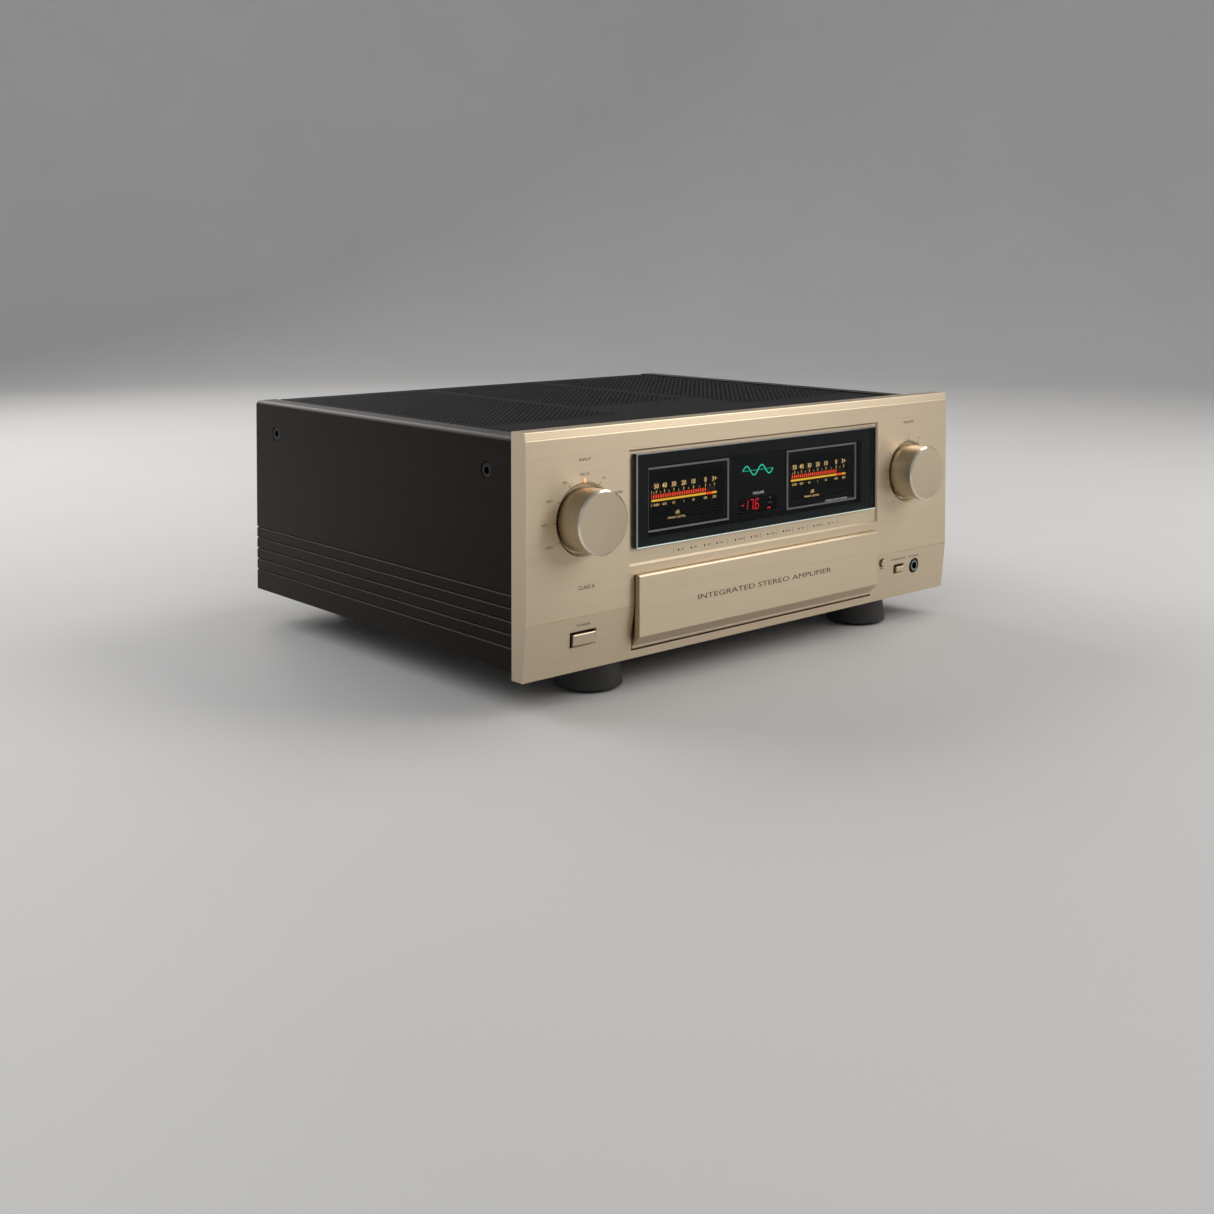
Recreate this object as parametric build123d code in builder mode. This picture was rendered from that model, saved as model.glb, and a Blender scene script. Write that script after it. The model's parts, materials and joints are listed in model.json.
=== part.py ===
from build123d import *

import math
import os

# A full-width integrated stereo amplifier. The origin is on the surface that it stands on,
# below the middle of its overall box. +X is the listener's right, +Y is towards the rear
# and +Z is up. All sizes are millimetres.

# ---------------------------------------------------------------- overall sizes
WIDTH = 465.0
HEIGHT = 191.0
DEPTH = 428.0
FOOT_HEIGHT = 21.5
KNOB_REACH = 20.0
CASE_DEPTH = 370.0
FACE = -DEPTH / 2 + KNOB_REACH
PANEL_H = HEIGHT - FOOT_HEIGHT
GAP = 0.3
RUNNING = 0.05

# ---------------------------------------------------------------- front panel
PANEL_T = 15.7
SEAM_H = 39.3
SEAM_W = 0.6
TOE_SETBACK = 4.1
CROWN_H = 163.9
CROWN_STEP = 0.5
CROWN_SETBACK = 1.3
TOP_EDGE = 0.6
RECESS_X = 139.0
RECESS_Z = (67.5, 150.5)
RECESS_DEPTH = 1.5
RECESS_BEVEL = 1.3
WINDOW_X = 128.0
WINDOW_Z = (82.0, 145.0)

# ---------------------------------------------------------------- display
GLASS_X = 133.8
GLASS_Z = (79.6, 147.4)
GLASS_PROUD = 2.5
MASK_FRONT = 5.5
MASK_T = 1.5
METER_X = 75.2
METER_W = 74.5
METER_Z = (94.4, 130.4)
METER_SET = 0.7
FRAME_X = 74.9
FRAME_W = 84.4
FRAME_Z = (88.3, 135.1)
FRAME_LINE = 1.3
FRAME_PROUD = 0.6
READOUT_W = 45.0
READOUT_Z = (90.0, 102.4)
BOARD_FRONT = 18.0
BOARD_T = 1.6

# ---------------------------------------------------------------- large knobs
KNOB_X = 180.2
KNOB_Z = 106.0
KNOB_R = 22.6
KNOB_SEAT = 2.2
KNOB_EDGE = 1.0
WELL_R = 24.4
WELL_DEPTH = 3.2
WELL_BEVEL = 1.7
SHAFT_R = 3.0
BUSH_R = 4.8
BUSH_HOLE_R = 5.2

# ---------------------------------------------------------------- front buttons and socket
BUTTON_PROUD = 2.2
POWER = (-181.0, 23.0)
POWER_SIZE = (20.4, 7.8)
POWER_TRAVEL = 3.0
ATTENUATOR = (169.5, 24.0)
ATTENUATOR_SIZE = (9.6, 4.6)
RELEASE = (147.0, 32.0)
RELEASE_R = 3.1
SMALL_TRAVEL = 2.0
JACK = (190.5, 24.0)
JACK_WELL_R = 6.4
JACK_BARREL_R = 5.3
JACK_BORE_R = 3.25
JACK_BORE_LENGTH = 35.0
PLUNGER_R = 2.5
SMALL_PLUNGER_R = 1.6

# ---------------------------------------------------------------- flap door
DOOR_X = 133.6
DOOR_OPENING_X = 134.2
DOOR_OPENING_Z = (5.8, 61.3)
DOOR_TOP = 61.0
DOOR_PROUD = 4.9
DOOR_INSIDE = 0.1
DOOR_BEVEL_TOP = 16.9
DOOR_EDGE = 1.0
HINGE = (4.6, 8.6)
KNUCKLE_R = 1.9
HINGE_PIN_R = 1.0
HINGE_PIN_IN = 6.0

# ---------------------------------------------------------------- controls behind the flap
SUB_X = 136.0
SUB_Z = (4.5, 62.5)
SUB_Y = (15.9, 17.4)
CONTROL_Z = 34.0
SMALL_KNOB_R = 6.0
SMALL_KNOB_Y = (5.0, 14.9)
SMALL_SHAFT_R = 2.0
SMALL_BUSH_R = 3.3
PUSH_R = 2.6
PUSH_Y = (9.0, 21.5)
CONTROL_BODY_Y = (19.0, 29.0)
SMALL_KNOBS = {
    "speaker_knob": -108.0,
    "bass_knob": 44.0,
    "treble_knob": 76.0,
    "balance_knob": 108.0,
}
PUSH_BUTTONS = {
    "meter_button": -70.0,
    "mono_button": -42.0,
    "tone_button": -14.0,
    "loudness_button": 14.0,
}

# ---------------------------------------------------------------- casing
SIDE_FACE = 231.5
SIDE_T = 5.0
SIDE_BOTTOM = 5.0
SIDE_TOP = 165.5
SIDE_LIP_X = 213.0
SIDE_LIP_T = 4.0
SIDE_ROUND = 3.9
SIDE_FRONT = 16.0
GROOVE_HEIGHTS = (21.5, 30.5, 39.5, 48.5, 57.5)
GROOVE_HALF = 0.9
GROOVE_DEPTH = 1.4
SIDE_SCREW_Y = (45.0, 336.0)
SIDE_SCREW_Z = 140.0
COVER_TOP = 165.0
COVER_X = 208.5
COVER_FLANGE_X = 224.0
COVER_FLANGE_TOP = 161.2
COVER_T = 1.5
COVER_REAR = 369.7
TRAY_X = 224.5
TRAY_BOTTOM = 5.0
TRAY_T = 1.6
TRAY_TOP = 158.0
TRAY_Y = (18.0, 366.0)
REAR_Y = (366.0, 368.0)
REAR_X = 226.2
REAR_Z = (5.2, 158.5)
CHASSIS_Y = (16.0, 17.6)
CHASSIS_X = 222.0
CHASSIS_Z = (1.5, 157.5)

# ---------------------------------------------------------------- feet
FOOT_X = 150.0
FOOT_Y = (32.0, 330.0)
FOOT_R = 25.0
FOOT_TAPER = 7.5
FOOT_BOSS_R = 12.0
PAD_R = 21.0
PAD_T = 2.0

# ---------------------------------------------------------------- rear terminals
TERMINAL_END = 408.0
POST_X = (160.0, 196.0)
POST_Z = (38.0, 72.0)
POST_R = 4.0
POST_BASE_R = 11.5
POST_BASE_T = 7.5
CAP_R = 9.4
CAP_FRONT = 384.0
RCA_PITCH = 22.0
RCA_COLUMNS = 10
RCA_ROWS = (72.0, 90.0)
RCA_R = 4.15
XLR_X = 140.0
XLR_Z = 126.0
INLET_Z = 32.0
COVER_SLOT_X = 58.0
COVER_SLOT_Z = 127.0
COVER_SLOT = (96.0, 40.0)

CUT = Mode.SUBTRACT


def back(distance):
    """The y of a point that far behind the front panel's face."""
    return FACE + distance


def up(height):
    """The z of a point that far above the front panel's bottom edge."""
    return FOOT_HEIGHT + height


def toe(height):
    """How far the panel's leaning lower face is set back at that height."""
    return TOE_SETBACK * (1 - height / SEAM_H)


def block(x, y, z, mode=Mode.ADD):
    """A block between a low and a high limit on each axis."""
    with Locations(((x[0] + x[1]) / 2, (y[0] + y[1]) / 2, (z[0] + z[1]) / 2)):
        Box(x[1] - x[0], y[1] - y[0], z[1] - z[0], mode=mode)


def rod_x(y, z, radius, x, mode=Mode.ADD):
    """A round rod along X between two x limits."""
    with Locations(((x[0] + x[1]) / 2, y, z)):
        Cylinder(radius, x[1] - x[0], rotation=(0, 90, 0), mode=mode)


def rod_y(x, z, radius, y, mode=Mode.ADD):
    """A round rod along Y between two y limits."""
    with Locations((x, (y[0] + y[1]) / 2, z)):
        Cylinder(radius, y[1] - y[0], rotation=(90, 0, 0), mode=mode)


def rod_z(x, y, radius, z, mode=Mode.ADD):
    """A round rod along Z between two z limits."""
    with Locations((x, y, (z[0] + z[1]) / 2)):
        Cylinder(radius, z[1] - z[0], mode=mode)


def behind(near, far):
    """The y limits between two distances behind the front panel's face."""
    return (back(near), back(far))


def above(low, high):
    """The z limits between two heights above the front panel's bottom edge."""
    return (up(low), up(high))


def about(middle, size):
    """Limits of that size about a middle."""
    return (middle - size / 2, middle + size / 2)


def save(part, name):
    """Label a finished piece and write it as one STEP file."""
    part.label = name
    export_step(part, f"parts/{name}.step")


os.makedirs("parts", exist_ok=True)

# ================================================================ front panel
BUTTON_GAP = 0.7
BUTTON_MOUTH_TAPER = -28
MOUTH_BASE = 3.4

with BuildPart() as front_panel:
    # Side view: a leaning toe below the seam, an upright face, a small step and a narrow crown.
    with BuildSketch(Plane.YZ.offset(-WIDTH / 2)):
        with BuildLine():
            Polyline(
                (back(TOE_SETBACK), up(0)),
                (back(0), up(SEAM_H)),
                (back(0), up(CROWN_H - CROWN_STEP)),
                (back(CROWN_STEP), up(CROWN_H)),
                (back(CROWN_SETBACK), up(PANEL_H - TOP_EDGE)),
                (back(CROWN_SETBACK + TOP_EDGE), up(PANEL_H)),
                (back(PANEL_T), up(PANEL_H)),
                (back(PANEL_T), up(0)),
                close=True,
            )
        make_face()
    extrude(amount=WIDTH)
    block((-WIDTH, WIDTH), behind(-1, SEAM_W), (up(SEAM_H) - SEAM_W, up(SEAM_H)), CUT)
    # The recess is cut from its floor outwards, so that its walls slope to the face.
    recess_size = (2 * (RECESS_X - RECESS_BEVEL), RECESS_Z[1] - RECESS_Z[0] - 2 * RECESS_BEVEL)
    recess_slope = math.degrees(math.atan(RECESS_BEVEL / RECESS_DEPTH))
    with BuildSketch(Plane.XZ.offset(-back(RECESS_DEPTH))):
        with Locations((0, up((RECESS_Z[0] + RECESS_Z[1]) / 2))):
            Rectangle(*recess_size)
    extrude(amount=RECESS_DEPTH, taper=-recess_slope, mode=CUT)
    block((-WINDOW_X, WINDOW_X), behind(0, PANEL_T + 1), above(*WINDOW_Z), CUT)
    block((-DOOR_OPENING_X, DOOR_OPENING_X), behind(-1, PANEL_T + 1), above(*DOOR_OPENING_Z), CUT)
    for side in (-1, 1):
        rod_y(side * KNOB_X, up(KNOB_Z), WELL_R, behind(-1, WELL_DEPTH), CUT)
        rod_y(side * KNOB_X, up(KNOB_Z), BUSH_HOLE_R, behind(0, PANEL_T + 1), CUT)
        pin_wall = sorted((side * (DOOR_OPENING_X - 1), side * (DOOR_OPENING_X + HINGE_PIN_IN)))
        rod_x(back(HINGE[0]), up(HINGE[1]), HINGE_PIN_R + RUNNING, pin_wall, CUT)
    wells = front_panel.edges().filter_by(GeomType.CIRCLE)
    wells = wells.filter_by(lambda edge: abs(edge.radius - WELL_R) < 0.01)
    chamfer(wells.group_by(Axis.Y)[0], WELL_BEVEL)
    # Button holes, each with a bevelled mouth in the leaning toe.
    for (x, z), (width, height) in ((POWER, POWER_SIZE), (ATTENUATOR, ATTENUATOR_SIZE)):
        hole = (width + 2 * BUTTON_GAP, height + 2 * BUTTON_GAP)
        block(about(x, hole[0]), behind(-1, PANEL_T + 1), about(up(z), hole[1]), CUT)
        with BuildSketch(Plane.XZ.offset(-back(MOUTH_BASE))):
            with Locations((x, up(z))):
                Rectangle(*hole)
        extrude(amount=MOUTH_BASE + 1, taper=BUTTON_MOUTH_TAPER, mode=CUT)
    rod_y(RELEASE[0], up(RELEASE[1]), RELEASE_R + BUTTON_GAP, behind(-1, PANEL_T + 1), CUT)
    rod_y(JACK[0], up(JACK[1]), JACK_WELL_R, behind(-1, PANEL_T + 1), CUT)
save(front_panel.part, "front_panel")

# ================================================================ display
with BuildPart() as display_glass:
    block((-GLASS_X, GLASS_X), behind(-GLASS_PROUD, RECESS_DEPTH), above(*GLASS_Z))
    chamfer(display_glass.faces().sort_by(Axis.Y)[0].edges(), 0.5)
save(display_glass.part, "display_glass")

with BuildPart() as display_mask:
    mask_y = behind(MASK_FRONT, MASK_FRONT + MASK_T)
    block((GAP - WINDOW_X, WINDOW_X - GAP), mask_y, above(WINDOW_Z[0] + GAP, WINDOW_Z[1] - GAP))
    for side in (-1, 1):
        block(about(side * METER_X, METER_W), mask_y, above(*METER_Z), CUT)
    block(about(0, READOUT_W), mask_y, above(*READOUT_Z), CUT)
save(display_mask.part, "display_mask")

with BuildPart() as meter_frames:
    frame_size = (FRAME_W, FRAME_Z[1] - FRAME_Z[0])
    frame_mid = up((FRAME_Z[0] + FRAME_Z[1]) / 2)
    with BuildSketch(Plane.XZ.offset(-back(MASK_FRONT))):
        with Locations((-FRAME_X, frame_mid), (FRAME_X, frame_mid)):
            Rectangle(*frame_size)
            Rectangle(frame_size[0] - 2 * FRAME_LINE, frame_size[1] - 2 * FRAME_LINE, mode=CUT)
    extrude(amount=FRAME_PROUD)
save(meter_frames.part, "meter_frames")

with BuildPart() as level_meters:
    for side in (-1, 1):
        block(
            about(side * METER_X, METER_W - GAP),
            behind(MASK_FRONT + METER_SET, BOARD_FRONT),
            above(METER_Z[0] + GAP / 2, METER_Z[1] - GAP / 2),
        )
save(level_meters.part, "level_meters")

with BuildPart() as volume_readout:
    block(
        about(0, READOUT_W - GAP),
        behind(MASK_FRONT + METER_SET, BOARD_FRONT),
        above(READOUT_Z[0] + GAP / 2, READOUT_Z[1] - GAP / 2),
    )
save(volume_readout.part, "volume_readout")

with BuildPart() as display_board:
    block((-125, 125), behind(BOARD_FRONT, BOARD_FRONT + BOARD_T), above(84, 143))
    for x in (-121, 121):
        for z in (88, 139):
            rod_y(x, up(z), 2.5, behind(MASK_FRONT + MASK_T, BOARD_FRONT))
save(display_board.part, "display_board")

# ================================================================ large knobs and what they turn
KNOB_BORE_END = -14.0
KNOB_HUB_R = 8.0
KNOB_HOLLOW_R = 18.0
KNOB_HOLLOW = 6.0
SHAFT_END = 39.5


def large_knob(name, x):
    """A turned aluminium knob with a hollow back and a hub that grips its shaft."""
    with BuildPart() as knob:
        rod_y(x, up(KNOB_Z), KNOB_R, behind(-KNOB_REACH, KNOB_SEAT))
        chamfer(knob.edges().group_by(Axis.Y)[0], KNOB_EDGE)
        rod_y(x, up(KNOB_Z), KNOB_HOLLOW_R, behind(KNOB_SEAT - KNOB_HOLLOW, KNOB_SEAT), CUT)
        rod_y(x, up(KNOB_Z), KNOB_HUB_R, behind(KNOB_SEAT - KNOB_HOLLOW, KNOB_SEAT))
        rod_y(x, up(KNOB_Z), SHAFT_R + RUNNING, behind(KNOB_BORE_END, KNOB_SEAT), CUT)
    save(knob.part, name)


def knob_shaft(name, x):
    """The steel shaft between a large knob and its switch or sensor."""
    with BuildPart() as shaft:
        rod_y(x, up(KNOB_Z), SHAFT_R, behind(KNOB_BORE_END, SHAFT_END))
    save(shaft.part, name)


def knob_housing(name, x, size, rear):
    """A switch or sensor housing with the bushing that its shaft turns in."""
    with BuildPart() as housing:
        block(about(x, size), behind(CONTROL_BODY_Y[0], rear), about(up(KNOB_Z), size))
        rod_y(x, up(KNOB_Z), BUSH_R, behind(6, CONTROL_BODY_Y[0]))
        rod_y(x, up(KNOB_Z), SHAFT_R + RUNNING, behind(5, SHAFT_END + 1), CUT)
    save(housing.part, name)


large_knob("input_knob", -KNOB_X)
knob_shaft("input_shaft", -KNOB_X)
knob_housing("input_selector", -KNOB_X, 40, 52)
large_knob("volume_knob", KNOB_X)
knob_shaft("volume_shaft", KNOB_X)
knob_housing("volume_sensor", KNOB_X, 46, 72)

# ================================================================ front buttons and socket
BUTTON_REAR = 20.0
BUTTON_EDGE = 0.5


def toe_button(name, place, size, plunger_r, travel):
    """A square-cut button that stands proud of the panel's toe, with a plunger behind."""
    x, z = place
    front = toe(z) - BUTTON_PROUD
    with BuildPart() as button:
        block(about(x, size[0]), behind(front, BUTTON_REAR), about(up(z), size[1]))
        chamfer(button.faces().sort_by(Axis.Y)[0].edges(), BUTTON_EDGE)
        rod_y(x, up(z), plunger_r, behind(BUTTON_REAR, BUTTON_REAR + travel + 5))
    save(button.part, name)


def switch_body(place, size, plunger_r, travel, rear):
    """A switch housing with a blind hole for the plunger, clear of the pressed button."""
    x, z = place
    front = BUTTON_REAR + travel + 1
    block(about(x, size[0]), behind(front, rear), about(up(z), size[1]))
    rod_y(x, up(z), plunger_r + GAP, behind(front, front + travel + 6), CUT)


toe_button("power_button", POWER, POWER_SIZE, PLUNGER_R, POWER_TRAVEL)
toe_button("attenuator_button", ATTENUATOR, ATTENUATOR_SIZE, SMALL_PLUNGER_R, SMALL_TRAVEL)

with BuildPart() as flap_button:
    release_front = toe(RELEASE[1]) - BUTTON_PROUD
    rod_y(RELEASE[0], up(RELEASE[1]), RELEASE_R, behind(release_front, BUTTON_REAR))
    chamfer(flap_button.edges().group_by(Axis.Y)[0], BUTTON_EDGE)
    plunger_y = behind(BUTTON_REAR, BUTTON_REAR + SMALL_TRAVEL + 5)
    rod_y(RELEASE[0], up(RELEASE[1]), SMALL_PLUNGER_R, plunger_y)
save(flap_button.part, "flap_button")

with BuildPart() as power_switch:
    switch_body(POWER, (26, 18), PLUNGER_R, POWER_TRAVEL, 60)
save(power_switch.part, "power_switch")

with BuildPart() as panel_switches:
    switch_body(ATTENUATOR, (12, 10), SMALL_PLUNGER_R, SMALL_TRAVEL, 40)
    switch_body(RELEASE, (9, 10), SMALL_PLUNGER_R, SMALL_TRAVEL, 40)
save(panel_switches.part, "panel_switches")

with BuildPart() as headphone_jack:
    jack_mouth = toe(JACK[1]) - 0.5
    rod_y(JACK[0], up(JACK[1]), JACK_BARREL_R, behind(jack_mouth, CONTROL_BODY_Y[0]))
    chamfer(headphone_jack.edges().group_by(Axis.Y)[0], BUTTON_EDGE)
    block(about(JACK[0], 16), behind(CONTROL_BODY_Y[0], 50), about(up(JACK[1]), 16))
    bore_y = behind(jack_mouth, jack_mouth + JACK_BORE_LENGTH)
    rod_y(JACK[0], up(JACK[1]), JACK_BORE_R, bore_y, CUT)
save(headphone_jack.part, "headphone_jack")

# ================================================================ flap door
with BuildPart() as flap_door:
    # Side view: a flat plate whose lower edge is bevelled back to a round hinge knuckle.
    with BuildSketch(Plane.YZ.offset(-DOOR_X)):
        with BuildLine():
            Polyline(
                (back(-DOOR_PROUD), up(DOOR_TOP)),
                (back(-DOOR_PROUD), up(DOOR_BEVEL_TOP)),
                (back(HINGE[0] - 1.4), up(HINGE[1] + 0.2)),
                (back(HINGE[0]), up(HINGE[1])),
                (back(HINGE[0]), up(HINGE[1] + KNUCKLE_R)),
                (back(DOOR_INSIDE), up(DOOR_BEVEL_TOP - 1.4)),
                (back(DOOR_INSIDE), up(DOOR_TOP)),
                close=True,
            )
        make_face()
        with Locations((back(HINGE[0]), up(HINGE[1]))):
            Circle(KNUCKLE_R)
    extrude(amount=2 * DOOR_X)
    door_front = flap_door.faces().filter_by(Plane.XZ).sort_by(Axis.Y)[0]
    chamfer(door_front.edges().sort_by(Axis.Z)[-1], DOOR_EDGE)
    for side in (-1, 1):
        pin_x = sorted((side * (DOOR_X - HINGE_PIN_IN), side * (DOOR_X + 1)))
        rod_x(back(HINGE[0]), up(HINGE[1]), HINGE_PIN_R + 0.02, pin_x, CUT)
save(flap_door.part, "flap_door")

with BuildPart() as flap_hinge_pins:
    for side in (-1, 1):
        pin_ends = (side * (DOOR_X - HINGE_PIN_IN), side * (DOOR_OPENING_X + HINGE_PIN_IN - GAP))
        rod_x(back(HINGE[0]), up(HINGE[1]), HINGE_PIN_R, sorted(pin_ends))
save(flap_hinge_pins.part, "flap_hinge_pins")

# ================================================================ controls behind the flap
with BuildPart() as sub_panel:
    block((-SUB_X, SUB_X), behind(*SUB_Y), above(*SUB_Z))
    for x in SMALL_KNOBS.values():
        rod_y(x, up(CONTROL_Z), SMALL_BUSH_R + 0.1, behind(*SUB_Y), CUT)
    for x in PUSH_BUTTONS.values():
        rod_y(x, up(CONTROL_Z), PUSH_R + GAP, behind(*SUB_Y), CUT)
save(sub_panel.part, "sub_panel")


def small_knob(name, x):
    """A small fluted knob on its own thin shaft, with a notch as its pointer."""
    with BuildPart() as knob:
        with BuildSketch(Plane.XZ.offset(-back(SMALL_KNOB_Y[1]))):
            with Locations((x, up(CONTROL_Z))):
                Circle(SMALL_KNOB_R)
                with PolarLocations(SMALL_KNOB_R + 0.5, 24):
                    Circle(0.8, mode=CUT)
        extrude(amount=SMALL_KNOB_Y[1] - SMALL_KNOB_Y[0])
        pointer_z = above(CONTROL_Z + 1.5, CONTROL_Z + SMALL_KNOB_R)
        block(about(x, 0.9), behind(SMALL_KNOB_Y[0], SMALL_KNOB_Y[0] + 0.8), pointer_z, CUT)
        rod_y(x, up(CONTROL_Z), SMALL_SHAFT_R, behind(SMALL_KNOB_Y[1], CONTROL_BODY_Y[1] - 4))
    save(knob.part, name)


def push_button(name, x):
    """A short round push button that slides in its switch."""
    with BuildPart() as button:
        rod_y(x, up(CONTROL_Z), PUSH_R, behind(*PUSH_Y))
        chamfer(button.edges().group_by(Axis.Y)[0], 0.4)
    save(button.part, name)


for name, x in SMALL_KNOBS.items():
    small_knob(name, x)
for name, x in PUSH_BUTTONS.items():
    push_button(name, x)

with BuildPart() as small_controls:
    for x in SMALL_KNOBS.values():
        block(about(x, 13), behind(*CONTROL_BODY_Y), about(up(CONTROL_Z), 13))
        rod_y(x, up(CONTROL_Z), SMALL_BUSH_R, behind(SUB_Y[0] - 0.6, CONTROL_BODY_Y[0]))
        bore = behind(SUB_Y[0] - 1, CONTROL_BODY_Y[1] - 3)
        rod_y(x, up(CONTROL_Z), SMALL_SHAFT_R + RUNNING, bore, CUT)
    for x in PUSH_BUTTONS.values():
        block(about(x, 9), behind(*CONTROL_BODY_Y), about(up(CONTROL_Z), 9))
        guide = behind(CONTROL_BODY_Y[0], PUSH_Y[1] + SMALL_TRAVEL + 1)
        rod_y(x, up(CONTROL_Z), PUSH_R + GAP, guide, CUT)
save(small_controls.part, "small_controls")

# ================================================================ casing
CHASSIS_RETURN = 10.0

with BuildPart() as front_chassis:
    block((-CHASSIS_X, CHASSIS_X), behind(*CHASSIS_Y), above(*CHASSIS_Z))
    for low in (8.0, CHASSIS_Z[1] - TRAY_T):
        reach = behind(CHASSIS_Y[1], CHASSIS_Y[1] + CHASSIS_RETURN)
        block((-CHASSIS_X + 1, CHASSIS_X - 1), reach, above(low, low + TRAY_T))
    block((-WINDOW_X, WINDOW_X), behind(*CHASSIS_Y), above(*WINDOW_Z), CUT)
    sub_hole = above(SUB_Z[0] - 0.5, SUB_Z[1] + 0.5)
    block((-SUB_X - 0.5, SUB_X + 0.5), behind(CHASSIS_Y[0], CHASSIS_Y[1]), sub_hole, CUT)
    for side in (-1, 1):
        rod_y(side * KNOB_X, up(KNOB_Z), BUSH_HOLE_R, behind(*CHASSIS_Y), CUT)
    for (x, z), (width, height) in ((POWER, POWER_SIZE), (ATTENUATOR, ATTENUATOR_SIZE)):
        block(about(x, width + 2), behind(*CHASSIS_Y), about(up(z), height + 2), CUT)
    rod_y(RELEASE[0], up(RELEASE[1]), RELEASE_R + 1, behind(*CHASSIS_Y), CUT)
    rod_y(JACK[0], up(JACK[1]), JACK_WELL_R, behind(*CHASSIS_Y), CUT)
save(front_chassis.part, "front_chassis")

SIDE_SCREW_HEAD_R = 5.4
SIDE_SCREW_SINK = 3.5
SIDE_SCREW_R = 2.5


def side_panel(name, side):
    """An extruded aluminium side with five sawtooth grooves and a lip over the top cover."""
    inner = SIDE_FACE - SIDE_T
    outline = [(inner, SIDE_BOTTOM), (SIDE_FACE, SIDE_BOTTOM)]
    for height in GROOVE_HEIGHTS:
        outline.append((SIDE_FACE, height - GROOVE_HALF))
        outline.append((SIDE_FACE - GROOVE_DEPTH, height + GROOVE_HALF - 0.2))
        outline.append((SIDE_FACE, height + GROOVE_HALF))
    outline.append((SIDE_FACE, SIDE_TOP))
    outline.append((SIDE_LIP_X, SIDE_TOP))
    outline.append((SIDE_LIP_X, SIDE_TOP - SIDE_LIP_T))
    outline.append((inner, SIDE_TOP - SIDE_LIP_T))
    with BuildPart() as panel:
        with BuildSketch(Plane.XZ.offset(-back(SIDE_FRONT))):
            with BuildLine():
                Polyline([(side * x, up(z)) for x, z in outline], close=True)
            make_face()
        extrude(amount=SIDE_FRONT - CASE_DEPTH)
        top_edges = panel.edges().filter_by(Axis.Y).group_by(Axis.Z)[-1]
        fillet(top_edges.sort_by(Axis.X)[-1 if side > 0 else 0], SIDE_ROUND)
        for y in SIDE_SCREW_Y:
            sink = sorted((side * (SIDE_FACE - SIDE_SCREW_SINK), side * (SIDE_FACE + 1)))
            through = sorted((side * (inner - 1), side * SIDE_FACE))
            rod_x(back(y), up(SIDE_SCREW_Z), SIDE_SCREW_HEAD_R + 0.6, sink, CUT)
            rod_x(back(y), up(SIDE_SCREW_Z), SIDE_SCREW_R + 0.2, through, CUT)
    save(panel.part, name)


side_panel("side_panel_left", -1)
side_panel("side_panel_right", 1)

with BuildPart() as side_screws:
    for side in (-1, 1):
        for y in SIDE_SCREW_Y:
            head = (side * (SIDE_FACE - SIDE_SCREW_SINK), side * (SIDE_FACE - 0.4))
            shank = (side * (TRAY_X - 6), side * (SIDE_FACE - SIDE_SCREW_SINK))
            rod_x(back(y), up(SIDE_SCREW_Z), SIDE_SCREW_HEAD_R, sorted(head))
            rod_x(back(y), up(SIDE_SCREW_Z), SIDE_SCREW_R, sorted(shank))
            # The hexagon socket is cut from the head's outer face inwards.
            socket = Plane(
                origin=(side * (SIDE_FACE - 0.4), back(y), up(SIDE_SCREW_Z)),
                x_dir=(0, 1, 0),
                z_dir=(-side, 0, 0),
            )
            with BuildSketch(socket):
                RegularPolygon(2.9, 6)
            extrude(amount=2.2, mode=CUT)
save(side_screws.part, "side_screws")

with BuildPart() as top_cover:
    # Front view: a raised middle with a step down on each side, under the side panels' lips.
    half = [
        (COVER_X, COVER_TOP),
        (COVER_X, COVER_FLANGE_TOP),
        (COVER_FLANGE_X, COVER_FLANGE_TOP),
        (COVER_FLANGE_X, COVER_FLANGE_TOP - COVER_T),
        (COVER_X - COVER_T, COVER_FLANGE_TOP - COVER_T),
        (COVER_X - COVER_T, COVER_TOP - COVER_T),
    ]
    outline = half + [(-x, z) for x, z in reversed(half)]
    with BuildSketch(Plane.XZ.offset(-back(SIDE_FRONT))):
        with BuildLine():
            Polyline([(x, up(z)) for x, z in outline], close=True)
        make_face()
    extrude(amount=SIDE_FRONT - REAR_Y[1])
    # The rear edge laps over the rear panel.
    block((-COVER_X, COVER_X), behind(REAR_Y[1], COVER_REAR), above(COVER_TOP - COVER_T, COVER_TOP))
    lap_x = COVER_X - COVER_T
    block((-lap_x, lap_x), behind(REAR_Y[1] + GAP, COVER_REAR), above(152, COVER_TOP))
save(top_cover.part, "top_cover")

with BuildPart() as chassis:
    tray_z = (TRAY_BOTTOM, TRAY_BOTTOM + TRAY_T)
    block((-TRAY_X, TRAY_X), behind(*TRAY_Y), above(*tray_z))
    for side in (-1, 1):
        wall = sorted((side * (TRAY_X - TRAY_T), side * TRAY_X))
        block(wall, behind(*TRAY_Y), above(TRAY_BOTTOM, TRAY_TOP))
        for y in SIDE_SCREW_Y:
            rod_x(back(y), up(SIDE_SCREW_Z), SIDE_SCREW_R + 0.3, wall, CUT)
    # Air slots below each heat sink and screw holes above the feet.
    with BuildSketch(Plane.XY.offset(up(TRAY_BOTTOM))):
        for side in (-1, 1):
            with Locations((side * 160, back(190))):
                with GridLocations(14, 56, 5, 4):
                    SlotOverall(42, 5, rotation=90)
    extrude(amount=TRAY_T, mode=CUT)
    for x in (-FOOT_X, FOOT_X):
        for y in FOOT_Y:
            rod_z(x, back(y), 2.3, above(TRAY_BOTTOM, TRAY_BOTTOM + TRAY_T), CUT)
save(chassis.part, "chassis")

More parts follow.
